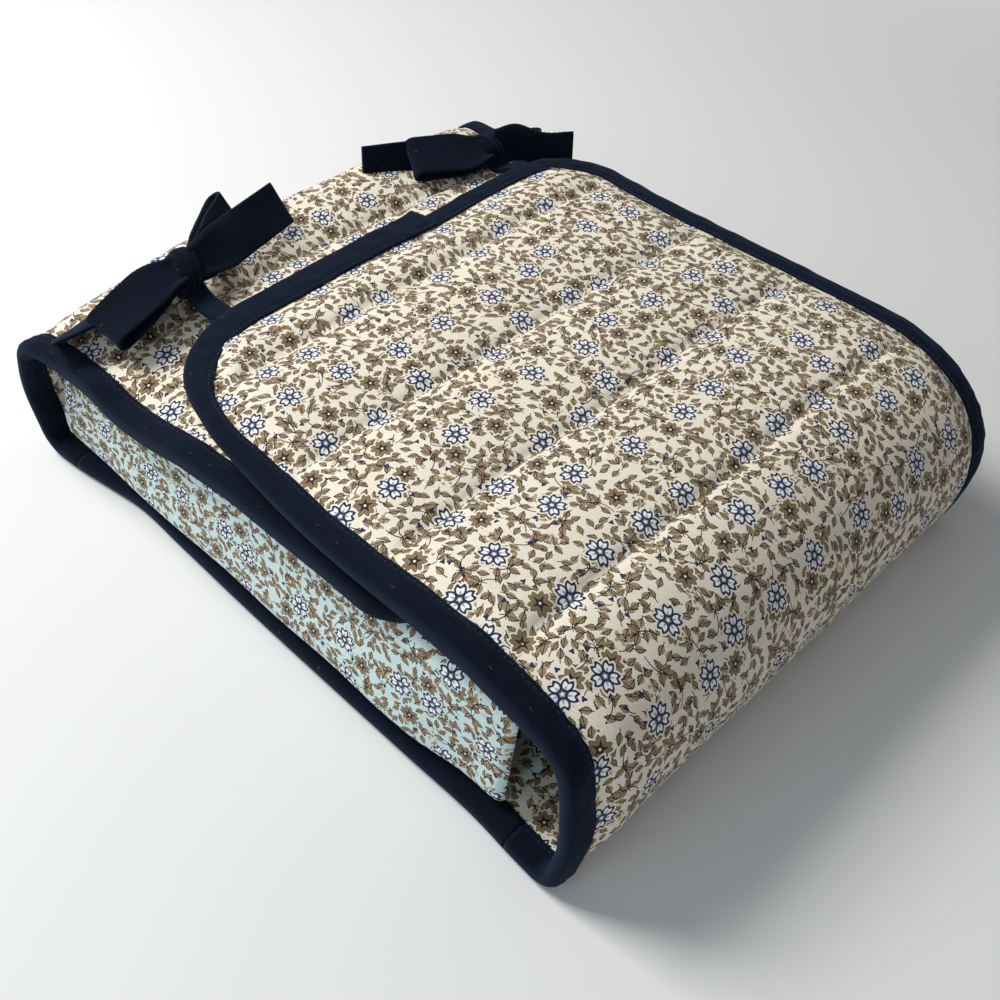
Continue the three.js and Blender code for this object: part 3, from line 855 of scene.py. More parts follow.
def simulated_heights(across, along, seam):
    """Heights of a flat sheet held at its seams and blown up by its filling, by cloth simulation.

    Its rest lengths are a little larger than its held frame, so it arches between seams and puckers at them.
    """
    height = 0.25 * ripples(across, along, 14, 8) * ~seam
    points = np.stack([across, along, height], -1).reshape(-1, 3) * SHEET_SCALE
    mesh = bpy.data.meshes.new("filled_cloth")
    mesh.from_pydata(points.tolist(), [], grid_faces(*across.shape).tolist())
    sheet = bpy.data.objects.new("filled_cloth", mesh)
    bpy.context.scene.collection.objects.link(sheet)
    held = sheet.vertex_groups.new(name="held")
    held.add(np.flatnonzero(seam).tolist(), 1.0, "REPLACE")
    sheet.shape_key_add(name="frame")
    rest = sheet.shape_key_add(name="rest")
    full = points * np.array([CROSS_FULLNESS, LONG_FULLNESS, 1])
    rest.data.foreach_set("co", full.astype(np.float32).ravel())
    cloth = sheet.modifiers.new("cloth", "CLOTH")
    cloth.settings.vertex_group_mass = "held"
    cloth.settings.rest_shape_key = rest
    cloth.settings.quality = 6
    cloth.settings.tension_stiffness = cloth.settings.compression_stiffness = 40
    cloth.settings.bending_stiffness = 0.03
    cloth.settings.use_pressure = True
    cloth.settings.uniform_pressure_force = SHEET_PRESSURE
    cloth.settings.effector_weights.gravity = 0
    cloth.point_cache.frame_end = SHEET_FRAMES
    scene = bpy.context.scene
    for number in range(1, SHEET_FRAMES + 1):
        scene.frame_set(number)
    shaped = sheet.evaluated_get(bpy.context.evaluated_depsgraph_get()).data
    found = np.empty(len(points) * 3, np.float32)
    shaped.vertices.foreach_get("co", found)
    scene.frame_set(1)
    bpy.data.objects.remove(sheet)
    bpy.data.meshes.remove(mesh)
    return found.reshape(*across.shape, 3)[..., 2] / SHEET_SCALE


def filled_cloth(start, finish, lines, rise):
    """A sheet held along its edges and quilting lines: its rows, its columns and its heights.

    Heights are a full arch between lines, mixed with the simulated puckers up to a soft limit.
    """
    marks = [start, *lines, finish]
    rows = runs_between(marks, lambda span: int(span / SHEET_STEP) + 1)
    columns = np.linspace(-HALF_WIDTH, HALF_WIDTH, int(2 * HALF_WIDTH / SHEET_STEP) + 1)
    across, along = np.meshgrid(columns, rows)
    seam = np.isin(along, marks) | (np.abs(across) > HALF_WIDTH - 1)
    heights = simulated_heights(across, along, seam)
    heights = PUCKER_LIMIT * np.tanh(heights / np.percentile(heights, 75) / PUCKER_LIMIT)
    index = np.clip(np.searchsorted(marks, rows, side="right") - 1, 0, len(marks) - 2)
    low, high = np.array(marks)[index], np.array(marks)[index + 1]
    part = (rows - low) / (high - low)
    arch = np.maximum(4 * part * (1 - part), 0) ** 0.5
    return rows, columns, rise * (ARCH_SHARE * arch[:, None] + (1 - ARCH_SHARE) * heights)


def quilt_swell(across, along, sheet):
    """Height of the filled cloth at flat places: the simulated sheet read between its rows and columns."""
    if sheet is None:
        return np.zeros_like(along)
    rows, columns, heights = sheet
    row = np.clip(np.interp(along, rows, np.arange(len(rows))), 0, len(rows) - 1.001)
    column = np.clip(np.interp(across, columns, np.arange(len(columns))), 0, len(columns) - 1.001)
    i, j = row.astype(int), column.astype(int)
    u, v = row - i, column - j
    near = heights[i, j] * (1 - v) + heights[i, j + 1] * v
    far = heights[i + 1, j] * (1 - v) + heights[i + 1, j + 1] * v
    return np.where((along > rows[0]) & (along < rows[-1]), near * (1 - u) + far * u, 0)


def pad_rows(start, finish, step):
    """Rows along the wrap that fall on every quilting line, closer together where a free end turns."""
    lines = [place for place in FRONT_LINES + BACK_LINES if start + step < place < finish - step]
    marks = [start, *sorted(lines), finish]
    rows = runs_between(marks, lambda span: max(int(span / step), 1))
    corner = np.sin(np.linspace(0, math.pi / 2, 26)) * CORNER_REACH
    clear = CORNER_REACH + 1
    if finish > WRAP.length - 20:
        rows = np.concatenate([rows[rows < finish - clear], finish - CORNER_REACH + corner])
    if start < 20:
        mirrored = start + CORNER_REACH - corner[::-1]
        rows = np.union1d(mirrored, rows[(rows > start + clear) | np.isin(rows, lines)])
    return rows


def thin_edge(across, along):
    """Where the front flap's left edge is pressed thin: one near its free end, fading to either side."""
    return bump(along - 985, 42) * smooth(-105, -140, across)


def line_groove(along):
    """Depth of the sharp groove that the quilting stitches pull into the cloth, a bell round each line."""
    nearest = np.min([np.abs(along - place) for place in FRONT_LINES + BACK_LINES], axis=0)
    return GROOVE_DEPTH * bump(nearest, GROOVE_WIDTH)


def wrap_pad(name, start, finish, sheet, material):
    """A run of the wrap's pad: swollen outer face, flatter lining, and edges pressed thin by the binding."""
    rows = pad_rows(start, finish, PAD_STEP)
    parts = np.linspace(0, 1, PAD_COLUMNS)
    left, right = edge_span(rows, PAD_INSET)
    across = left[:, None] + (right - left)[:, None] * parts
    along = np.broadcast_to(rows[:, None], across.shape).copy()
    edge = np.minimum(across - left[:, None], right[:, None] - across)
    edge = np.minimum(edge, np.minimum(along, WRAP.length - along) - PAD_INSET)
    pressed = 1 - smooth(0, PRESSED_REACH, edge)
    full = smooth(*FILLED_REACH, edge)
    uneven = cover_ripple(across, along) * full
    swell = (quilt_swell(across, along, sheet) - line_groove(along)) * full
    top = swell - 1.0 * pressed + 0.3 * smooth(11, 16, edge) + uneven
    bottom = -PAD + 1.1 * pressed - 0.4 * full * (1 + ripples(across, along, 45, 5))
    bottom = bottom + THINNED * thin_edge(across, along) * (1 - smooth(8, 24, edge))
    return pad_object(name, wrap_point, across, along + line_drift(across, along), top, bottom, material)


def binding_section(leg):
    """Tape folded over an edge: a puffed leg on each face, a round nose, and an inner skin just inside."""
    depth = np.linspace(leg, 1.8, LEG_POINTS)
    sewn = bump(depth - (leg - BINDING_STITCH_INSET), 0.9)
    swell = 1.15 + 0.55 * np.sin(math.pi * depth / leg) - 0.55 * sewn
    swell = swell - 0.35 * smooth(leg - 1.2, leg, depth)
    nose = np.linspace(math.pi / 2, -math.pi / 2, NOSE_POINTS + 2)[1:-1]
    rise = PAD / 2 + 0.9
    top = np.stack([depth, swell - 0.3], -1)
    front = np.stack([1.8 - 2.6 * np.cos(nose), -PAD / 2 + (rise - 0.15) * np.sin(nose)], -1)
    under = np.stack([depth[::-1], -PAD - swell[::-1] + 0.3], -1)
    inner_depth = np.array([leg - 0.2, leg * 0.6, 1.6])
    inner_under = np.stack([inner_depth, np.full(3, -PAD - 0.05)], -1)
    inner_top = np.stack([inner_depth[::-1], np.full(3, 0.05)], -1)
    return np.concatenate([top, front, under, inner_under, inner_top])


def edge_path(start, finish, step=2.4):
    """Stations of the wrap's outline between two places along it: across, along and the way in."""
    free = finish > WRAP.length - 1 or start < 1
    rows = np.linspace(start, finish, int((finish - start) / step) + 1)
    if not free:
        ones = np.ones_like(rows)
        return [(np.full_like(rows, side * HALF_WIDTH), rows, -side * ones, 0 * ones) for side in (-1, 1)]
    front = finish > WRAP.length - 1
    end, sign = (WRAP.length, -1) if front else (0, 1)
    hinge = start if front else finish
    radii = (LEFT_CORNER, RIGHT_CORNER) if front else (BACK_FLAP_CORNER, BACK_FLAP_CORNER)
    stations = []
    for side, radius in zip((-1, 1), radii):
        straight_end = end + sign * radius
        straight = np.linspace(hinge, straight_end, int(abs(straight_end - hinge) / step) + 1)[:-1]
        angle = np.linspace(0, math.pi / 2, int(radius * math.pi / 2 / step) + 1)
        rounded = HALF_WIDTH - radius * (1 - np.cos(angle))
        across = side * np.concatenate([np.full_like(straight, HALF_WIDTH), rounded])
        along = np.concatenate([straight, end + sign * radius * (1 - np.sin(angle))])
        inward_x = -side * np.concatenate([np.ones_like(straight), np.cos(angle)])
        inward_s = sign * np.concatenate([np.zeros_like(straight), np.sin(angle)])
        stations.append(np.stack([across, along, inward_x, inward_s]))
    first, last = stations
    bridge = np.linspace(first[0, -1], last[0, -1], int((last[0, -1] - first[0, -1]) / step) + 1)[1:-1]
    middle = np.stack([bridge, np.full_like(bridge, end), 0 * bridge, np.full_like(bridge, sign)])
    return [tuple(np.concatenate([first, middle, last[:, ::-1]], 1))]


def binding_grid(path, section, seed):
    """Binding's places: depth goes in from the edge and height off the cloth, wrinkled on the bends.

    Along the front flap's end the lapped piece rolls out past the cloth, and on the left it hangs lower.
    """
    across, along, inward_x, inward_s = (part[:, None] for part in path)
    depth, height = section[:, 0], section[:, 1]
    step = np.hypot(np.diff(path[0], prepend=path[0][0]), np.diff(path[1], prepend=path[1][0]))
    travelled = np.cumsum(step)[:, None]
    uneven = 0.28 * ripples(travelled, 6 * depth, 17, seed)
    uneven = uneven + 0.2 * ripples(travelled, 3 * depth, 42, seed + 1)
    bend = bump(along - sum(SHOULDER) / 2, 34) + bump(along - sum(BACK_RIM) / 2, 16)
    uneven = uneven + 0.42 * bend * ripples(travelled, 1.2 * depth, 9, seed + 3)
    sewn = smooth(0, 16, np.minimum(travelled, travelled[-1] - travelled))
    uneven = uneven * sewn
    on_end = (along > WRAP.length - LEFT_CORNER) * smooth(-0.25, -0.85, inward_s)
    lapped = on_end * smooth(LAP_PLACE + 0.7, LAP_PLACE - 0.7, across)
    away = np.where(height > -PAD / 2, 1, -1)
    outer = np.abs(height + PAD / 2) > PAD / 2 + 0.2
    left = smooth(-110, -150, across)
    hang = left * (2.5 * smooth(BACK_RIM[0], BACK_RIM[0] - 30, along) + 5 * bump(along - 810, 55))
    hang = hang - THINNED * thin_edge(across, along)
    swelling = uneven * 0.8 + 0.9 * lapped * smooth(-40, 20, across)
    height = height + away * outer * swelling - hang * smooth(-PAD * 0.2, -PAD, height)
    depth = depth + 0.35 * sewn * ripples(travelled, 0 * depth, 38, seed + 2) * (depth > 6)
    leg = section[:, 0].max()
    on_corner = on_end * (1 - smooth(-0.6, -1, inward_s)) * (across < 0)
    narrow = 3.2 * np.maximum(on_corner, thin_edge(across, along))
    depth = depth - narrow * smooth(3, leg, depth)
    depth = depth - lapped * (1 - smooth(0, leg, depth)) * (ROLL_OUT + 2 * bump(across - LAP_PLACE, 9))
    points = wrap_point(across + inward_x * depth, along + inward_s * depth, height)
    girth = np.cumsum(np.hypot(*np.diff(section, axis=0, prepend=section[:1]).T))
    flat = np.stack(np.broadcast_arrays(travelled, girth[None]), -1)
    return points, flat


def stitched_binding(name, start, finish, sizes, material, seed):
    """Binding pieces of a run of the edge, with the places of the stitches on both of its legs."""
    leg = sizes.binding_leg / MM
    section = binding_section(leg)
    top = np.argmin(np.abs(section[:LEG_POINTS, 0] - (leg - BINDING_STITCH_INSET)))
    under = 2 * LEG_POINTS + NOSE_POINTS - 1 - top
    paths = edge_path(start, finish)
    pieces, rows = [], []
    for i, path in enumerate(paths):
        points, flat = binding_grid(path, section, seed + 10 * i)
        label = name if len(paths) == 1 else f"{name}_{('left', 'right')[i]}"
        pieces.append(tube_object(label, points, material, flat))
        for place, beside in ((top, top + 1), (under, under - 1)):
            row = row_of_stitches(points[:, place], points[:, beside])
            rows.append(outward_row(row, spread_points(points.mean(1), len(row[0]))))
    return pieces, rows


# Properties


def length_property(label, about, default):
    """A length that a user can change."""
    return bpy.props.FloatProperty(name=label, description=about, default=default, unit="LENGTH")


class CarrierSizes(bpy.types.PropertyGroup):
    """Sizes of the cloth work."""

    quilt_rise: length_property("Quilt rise", "Swelling of the cloth between quilting lines", 0.0042)
    binding_leg: length_property("Binding leg", "Width of the binding on each face", 0.0122)
    tie_width: length_property("Tie width", "Width of the bow ties", 0.0235)
    tie_thickness: length_property("Tie thickness", "Thickness of the doubled tie", 0.0024)


def colour_property(label, about, default):
    """A colour that a user can change."""
    return bpy.props.FloatVectorProperty(
        name=label, description=about, default=default, subtype="COLOR", size=3, min=0, max=1
    )


class CarrierColours(bpy.types.PropertyGroup):
    """Colours of the cloths."""

    ground: colour_property("Ground", "Cream ground of the print", (0.86, 0.785, 0.645))
    # Cool lit ground: the print's own cream ground with painted cool bluish light, as that light falls on the
    # cross panel
    cool_lit_ground: colour_property("Pale ground", "Ground of the cross panel's print", (0.60, 0.745, 0.74))
    shadow: colour_property("Dots", "Small dots of the print", (0.44, 0.33, 0.17))
    leaf: colour_property("Leaves", "Taupe leaves of the print", (0.345, 0.245, 0.142))
    stalk: colour_property("Stalks", "Dark outlines and stalks of the print", (0.026, 0.018, 0.014))
    blue: colour_property("Blue blossoms", "Navy outlines of the blossoms", (0.015, 0.027, 0.085))
    petal: colour_property("Petals", "Pale petals and hearts", (0.90, 0.89, 0.86))
    brown: colour_property("Brown blossoms", "Brown petals", (0.25, 0.175, 0.10))
    navy: colour_property("Navy", "Navy cotton of the binding and ties", (0.0012, 0.0024, 0.0062))
    navy_worn: colour_property("Worn navy", "Paler threads of the navy cotton", (0.0055, 0.0098, 0.0235))
    navy_thread: colour_property("Navy thread", "Thread of the binding and ties", (0.012, 0.017, 0.032))
    tan_thread: colour_property("Tan thread", "Thread of the quilting", (0.30, 0.23, 0.14))
    floor: colour_property("Floor", "Pale floor", (0.79, 0.79, 0.785))


# Steps for the cloths and the wrap


def settings():
    """The carrier's sizes and colours."""
    scene = bpy.context.scene
    return scene.carrier_sizes, scene.carrier_colours


def place_soft(piece, replaced=()):
    """Hides the solids that a piece stands for, where any are given, and returns the piece."""
    if replaced:
        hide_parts(*replaced)
    return piece


def layers(*names):
    """Cover, batting and lining solids of the named pads."""
    return [f"{name}_{layer}" for name in names for layer in ("cover", "batting", "lining")]


def shoulder_ends():
    """Where the front flap's cloth starts and ends its bend, on the shoulder."""
    wall_end = (0, -HALF_DEPTH * MM, (FRONT_TOP - SHOULDER_RADIUS) * MM)
    return wall_end, (0, (SHOULDER_RADIUS - HALF_DEPTH) * MM, FRONT_TOP * MM)


def rim_ends():
    """Where the back flap's cloth starts and ends its bend, on the back rim."""
    wall_end = (0, HALF_DEPTH * MM, (BACK_TOP - RIM_RADIUS) * MM)
    return wall_end, (0, (HALF_DEPTH - RIM_RADIUS) * MM, BACK_TOP * MM)


class CARRIER_OT_materials(bpy.types.Operator):
    """Makes the printed cotton, its copy with painted cool light for the cross panel, the navy cotton and the
    threads
    """

    bl_idname = "carrier.materials"
    bl_label = "Make Cloths"

    def execute(self, context):
        colours = settings()[1]
        make_cells_group()
        make_leaf_group()
        make_sprig_group()
        make_blossom_group()
        make_print_group()
        make_weave_group()
        make_lint_group()
        print_material("printed_cotton_cloth", colours.ground, colours)
        # The cross panel's copy of the print: the same inks on a ground painted with cool bluish light
        print_material("cool_lit_printed_cotton_cloth", colours.cool_lit_ground, colours)
        navy_material("navy_cotton_cloth", colours)
        thread_material("navy_thread", colours.navy_thread)
        thread_material("tan_thread", colours.tan_thread)
        return {"FINISHED"}


class CARRIER_OT_wrap(bpy.types.Operator):
    """Makes the quilted wrap: front wall and flap, base, back wall and flap"""

    bl_idname = "carrier.wrap"
    bl_label = "Make Wrap"

    def execute(self, context):
        rise = settings()[0].quilt_rise / MM
        cloth = bpy.data.materials["printed_cotton_cloth"]
        front_sheet = filled_cloth(FRONT_HEM, WRAP.length - HEM, FRONT_LINES, rise)
        front = wrap_pad("front_wrap_pad", FRONT_SEAM, WRAP.length - PAD_INSET, front_sheet, cloth)
        place_soft(front, layers("front_wall", "front_flap"))
        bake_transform(front)
        back_sheet = filled_cloth(HEM, BACK_HEM, BACK_LINES, rise)
        back = wrap_pad("back_wrap_pad", PAD_INSET, BACK_SEAM, back_sheet, cloth)
        place_soft(back, layers("back_wall", "back_flap"))
        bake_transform(back)
        base = wrap_pad("base_pad", BACK_SEAM, FRONT_SEAM, None, cloth)
        place_soft(base, layers("base"))
        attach(base, "base")
        return {"FINISHED"}


class CARRIER_OT_binding(bpy.types.Operator):
    """Makes the binding round the wrap and its edge stitching"""

    bl_idname = "carrier.binding"
    bl_label = "Make Binding"

    def execute(self, context):
        sizes = settings()[0]
        navy = bpy.data.materials["navy_cotton_cloth"]
        thread = bpy.data.materials["navy_thread"]
        for flap, start, finish, ends, seed in (
            ("front", FRONT_SEAM, WRAP.length, shoulder_ends(), 21),
            ("back", 0, BACK_SEAM, rim_ends(), 31),
        ):
            (tape,), rows = stitched_binding(f"{flap}_binding", start, finish, sizes, navy, seed)
            solids = [f"{flap}_flap_binding", f"{flap}_wall_binding_left", f"{flap}_wall_binding_right"]
            place_soft(tape, solids)
            sewn = stitch_object(f"{flap}_binding_stitches", rows, thread)
            for piece in (tape, place_soft(sewn)):
                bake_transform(piece)
        tapes, rows = stitched_binding("base_binding", BACK_SEAM, FRONT_SEAM, sizes, navy, 41)
        for tape, side in zip(tapes, ("left", "right")):
            place_soft(tape, [f"base_binding_{side}"])
            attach(tape, "base")
        sewn = stitch_object("base_binding_stitches", rows, thread)
        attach(place_soft(sewn), "base")
        return {"FINISHED"}


class CARRIER_OT_quilting(bpy.types.Operator):
    """Makes the rows of quilting stitches across the wrap"""

    bl_idname = "carrier.quilting"
    bl_label = "Make Quilting Stitches"

    def execute(self, context):
        thread = bpy.data.materials["tan_thread"]
        flaps = (("front", FRONT_LINES, shoulder_ends()), ("back", BACK_LINES, rim_ends()))
        for flap, lines, ends in flaps:
            rows = []
            for place in lines:
                left, right = edge_span(np.array(place), PRESSED_REACH)
                across = np.linspace(left, right, 140)
                level = np.full_like(across, place)
                edge = np.minimum(across - left, right - across) + PRESSED_REACH - PAD_INSET
                full = smooth(*FILLED_REACH, edge)
                height = STITCH_SEAT + (cover_ripple(across, level) - GROOVE_DEPTH) * full
                along = place + line_drift(across, level)
                places = wrap_point(across, along, height)
                beside = wrap_point(across, along + 2, height)
                rows.append(row_of_stitches(places, beside))
            sewn = stitch_object(f"{flap}_quilting_stitches", rows, thread)
            place_soft(sewn)
            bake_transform(sewn)
        return {"FINISHED"}


# Cross panel


LIP_SEAM = 3
PANEL_STEP = 2.4
PANEL_COLUMNS = 101
PANEL_CORNER = 30
PANEL_ROUND = 5


def panel_pad(name, start, finish, material):
    """A run of the cross panel: two soft faces with rounded, turned edges."""
    low, high = min(start, finish), max(start, finish)
    rows = np.linspace(low, high, int((high - low) / PANEL_STEP) + 1)
    free = np.minimum(rows, PANEL.length - rows)
    half = PANEL_HALF_WIDTH - corner_inset(free, PANEL_CORNER)
    crowded = np.sin(np.linspace(-math.pi / 2, math.pi / 2, PANEL_COLUMNS))
    parts = crowded * 0.35 + np.linspace(-1, 1, PANEL_COLUMNS) * 0.65
    across = half[:, None] * parts
    along = np.broadcast_to(rows[:, None], across.shape).copy()
    edge = np.minimum(half[:, None] - np.abs(across), free[:, None])
    round_off = 1 - np.sqrt(np.clip(1 - (1 - np.clip(edge / PANEL_ROUND, 0, 1)) ** 2, 0, 1))
    soft = 0.35 * ripples(across, along, 55, 61) * smooth(0, 20, edge)
    top = -PAD / 2 * round_off + 0.4 * smooth(2, 25, edge) + soft
    bottom = -PAD + PAD / 2 * round_off - 0.2 * smooth(2, 25, edge)
    return pad_object(name, panel_point, across, along, top, bottom, material)


class CARRIER_OT_panel(bpy.types.Operator):
    """Makes the cross panel: its floor, its two standing sides and their lips"""

    bl_idname = "carrier.panel"
    bl_label = "Make Cross Panel"

    def execute(self, context):
        # The cross panel wears the print copy whose ground is painted with cool bluish light
        cloth = bpy.data.materials["cool_lit_printed_cotton_cloth"]
        right_seam, left_seam = PANEL.folds[0][1] + LIP_SEAM, PANEL.folds[-1][0] - LIP_SEAM
        sides = (("right", 1, right_seam, 0), ("left", -1, left_seam, PANEL.length))
        hinge_x = PANEL_HALF_SPAN * MM
        for side, sign, seam, outer_end in sides:
            lower = panel_pad(f"inner_base_and_side_{side}", PANEL.length / 2, seam, cloth)
            replaced = layers(f"side_{side}") + (layers("inner_base") if sign > 0 else [])
            place_soft(lower, replaced)
            sign * 0.136
            sign * hinge_x
            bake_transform(lower)
            lip = panel_pad(f"lip_{side}_pad", seam, outer_end, cloth)
            place_soft(lip, layers(f"lip_{side}"))
            sign * hinge_x
            sign * 0.134
            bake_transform(lip)
        return {"FINISHED"}


# Bow ties


ACROSS_BOW = np.array([0, 0.82, 0.57]) / math.hypot(0.82, 0.57)
ACROSS_TIES = np.array([1.0, 0, 0])
OUT_OF_BOW = np.cross(ACROSS_TIES, ACROSS_BOW)
KNOT_BAND = 14
KNOT_HEIGHT = 7.6
# Each strap: its name, its side of the knot, whether it lies in front and is a loop, its tip from the knot
# in widths of the tie, the way its width runs at the tip, and how far it droops
BOWS = {
    "left_bow": (
        (-91.5, 133, 102.5),
        [
            ("tail_inner", 1, True, False, (3.31, 0.78, -0.02), (-0.1, 0.63, 0.77), 0),
            ("loop_inner", 1, False, True, (2.13, 1.28, -0.1), (-0.1, 0.6, 0.78), 0),
            ("loop_outer", -1, True, True, (-1.92, -0.13, -0.47), (0.06, 0.97, 0.2), 0),
            ("tail_outer", -1, False, False, (-2.78, 0.76, -0.9), (0.34, 0.73, -0.59), -1),
        ],
    ),
    "right_bow": (
        (117, 128.5, 95.5),
        [
            ("loop_inner", -1, True, True, (-1.86, 0.56, 0.14), (0.4, 0.8, 0.45), 0),
            ("tail_inner", -1, False, False, (-2.93, 1.36, -0.03), (-0.2, 0.3, 0.9), -1),
            ("tail_outer", 1, True, False, (1.81, -1.28, -0.05), (-0.4, 0.0, 0.9), 4),
            ("loop_outer", 1, False, True, (1.4, -0.4, -0.35), (-0.3, 0.4, 0.85), 4),
        ],
    ),
}
TIP_SCALE = 23
# Slant and half width of each knot
KNOT_SHAPES = [(1.0, 11), (-0.6, 8.6)]
GATHERED_WIDTH = 16
LOOP_GATHER = 0.45
TAIL_GATHER = 0.32
NARROW_SHARE = 0.56
LOOP_FOLD = 3.4
LOOP_ROOT = 1.6
STRAP_ROWS = 34
STRAP_SIDES = 40
STRAP_EDGE = 3
TIE_STITCH_PITCH = 2.9
LEAD_LENGTH = 8
LEAD_SHARE = 0.12
BACK_TIE_LENGTH = 28
# How far off the knot's middle each strap starts, by whether it lies in front and is a loop
SEATS = {(True, False): 4, (False, True): -2, (True, True): 3, (False, False): -4.4}


def smooth_line(points, count):
    """A smooth line through points, by a spline on the distance between them."""
    points = np.array(points, float)
    travelled = distances(points)
    places = np.linspace(0, travelled[-1], count)
    return np.stack([spline(travelled, points[:, i], places) for i in range(3)], -1)


def strap_frame(line, root_across, tip_across):
    """Across and out directions of a strap whose width turns from one direction to another."""
    along = unit(np.gradient(line, axis=0))
    part = np.linspace(0, 1, len(line))[:, None]
    aim = np.array(root_across) * (1 - part) + np.array(tip_across) * part
    across = unit(aim - along * np.einsum("ij,ij->i", aim, along)[:, None])
    return across, np.cross(along, across)


def strap_rings(line, across, out, width, thickness, cup, pleat):
    """A doubled tape: a flat oval section, open at one edge, cupped across and pleated near the knot."""
    angle = np.linspace(0, 2 * math.pi, STRAP_SIDES, endpoint=False)
    side = np.sign(np.cos(angle)) * np.abs(np.cos(angle)) ** 0.35
    face = np.sign(np.sin(angle)) * np.abs(np.sin(angle)) ** 0.6
    lips = 0.5 * bump(face, 0.3) * (side < -0.5)
    spread = (side * width[:, None] / 2) + lips
    rise = face * thickness / 2 + cup[:, None] * (side**2 - 0.4)
    rise = rise + pleat[:, None] * np.cos(side * 7.5 + 0.8)
    return line[:, None] + across[:, None] * spread[..., None] + out[:, None] * rise[..., None]


def strap_flat(rings, line):
    """Flat places of a strap: along its line and round its section."""
    around = distances(rings[len(rings) // 2])
    return np.stack(np.broadcast_arrays(distances(line)[:, None], around[None]), -1)


def loop_line(line, out, root_half, fold_radius, count=12):
    """A loop's path: out on one face of its line, round a half circle at the tip, back on the other face."""
    part = np.linspace(0, 1, len(line))
    half = (root_half + (fold_radius - root_half) * smooth(0, 1, part))[:, None]
    tip, tip_out = line[-1], out[-1]
    tangent = unit(line[-1] - line[-2])
    angle = np.linspace(math.pi / 2, -math.pi / 2, count)[1:-1, None]
    fold = tip + fold_radius * (tip_out * np.sin(angle) + tangent * np.cos(angle))
    return np.concatenate([line + out * half, fold, (line - out * half)[::-1]])


def make_strap(name, points, root_across, tip_across, loop, sizes, material, seed, share=1.0):
    """One loop or tail of a bow from its root to its tip, with its edge stitching."""
    width_full, thickness = share * sizes.tie_width / MM, sizes.tie_thickness / MM
    line = smooth_line(points, STRAP_ROWS)
    across, out = strap_frame(line, root_across, tip_across)
    part = np.linspace(0, 1, len(line))
    gathered = min(GATHERED_WIDTH, width_full)
    width = gathered + (width_full - gathered) * smooth(0, LOOP_GATHER if loop else TAIL_GATHER, part)
    if loop:
        path = loop_line(line, out, LOOP_ROOT, LOOP_FOLD)
        folds = len(path) - 2 * len(line)
        across, width, part = (
            np.concatenate([values, np.repeat(values[-1:], folds, 0), values[::-1]])
            for values in (across, width, part)
        )
        line = path
        out = np.cross(unit(np.gradient(line, axis=0)), across)
    sway = ripples(part * 60, part * 0, 45, seed)
    cup = 0.8 * sway * smooth(0.15, 0.5, part) + 0.6
    pleat = 0.7 * (1 - smooth(0, 0.55, part))
    rings = strap_rings(line, across, out, width, thickness, cup, pleat)
    piece = tube_object(name, rings, material, strap_flat(rings, line))
    near, far = STRAP_EDGE, STRAP_SIDES - STRAP_EDGE
    sewn = [(rings[4:-1, near], rings[4:-1, near + 1]), (rings[4:-1, far], rings[4:-1, far - 1])]
    if not loop:
        half = STRAP_SIDES // 2
        for columns in (range(2, half), range(STRAP_SIDES - 2, half, -1)):
            sewn.append((rings[-3][columns], rings[-4][columns]))
    rows = [row_of_stitches(*pair, TIE_STITCH_PITCH) for pair in sewn]
    rows = [outward_row(row, nearest_points(line, row[0])) for row in rows]
    return piece, rows, distances(line)[-1]


def knot_object(name, centre, material, lean, half_width):
    """A knot: a band wound round the straps, barrel shaped, with folds that run aslant round it."""
    across = np.linspace(-1, 1, 41)[:, None]
    angle = np.linspace(0, 2 * math.pi, 72, endpoint=False)[None]
    slant = lean * np.cos(angle - 0.6)
    barrel = 1 - 0.2 * across**2 - 0.25 * smooth(0.85, 1, np.abs(across))
    folds = 0
    for place, depth, width in ((-0.42, 0.09, 0.10), (0.12, 0.06, 0.07), (0.55, 0.10, 0.09)):
        folds = folds - depth * bump(across - place - 0.22 * np.sin(angle + place * 3), width)
    squared = 1 / (np.abs(np.cos(angle)) ** 2.6 + np.abs(np.sin(angle)) ** 2.6) ** (1 / 2.6)
    reach = (barrel + folds) * squared
    point = (
        np.array(centre)
        + ACROSS_TIES * (across * KNOT_BAND / 2 + slant * 2.6)[..., None]
        + ACROSS_BOW * (reach * np.cos(angle) * half_width)[..., None]
        + OUT_OF_BOW * (reach * np.sin(angle) * KNOT_HEIGHT)[..., None]
    )
    flat = np.stack(np.broadcast_arrays(angle * 9, across * 10), -1)
    return tube_object(name, point, material, flat)


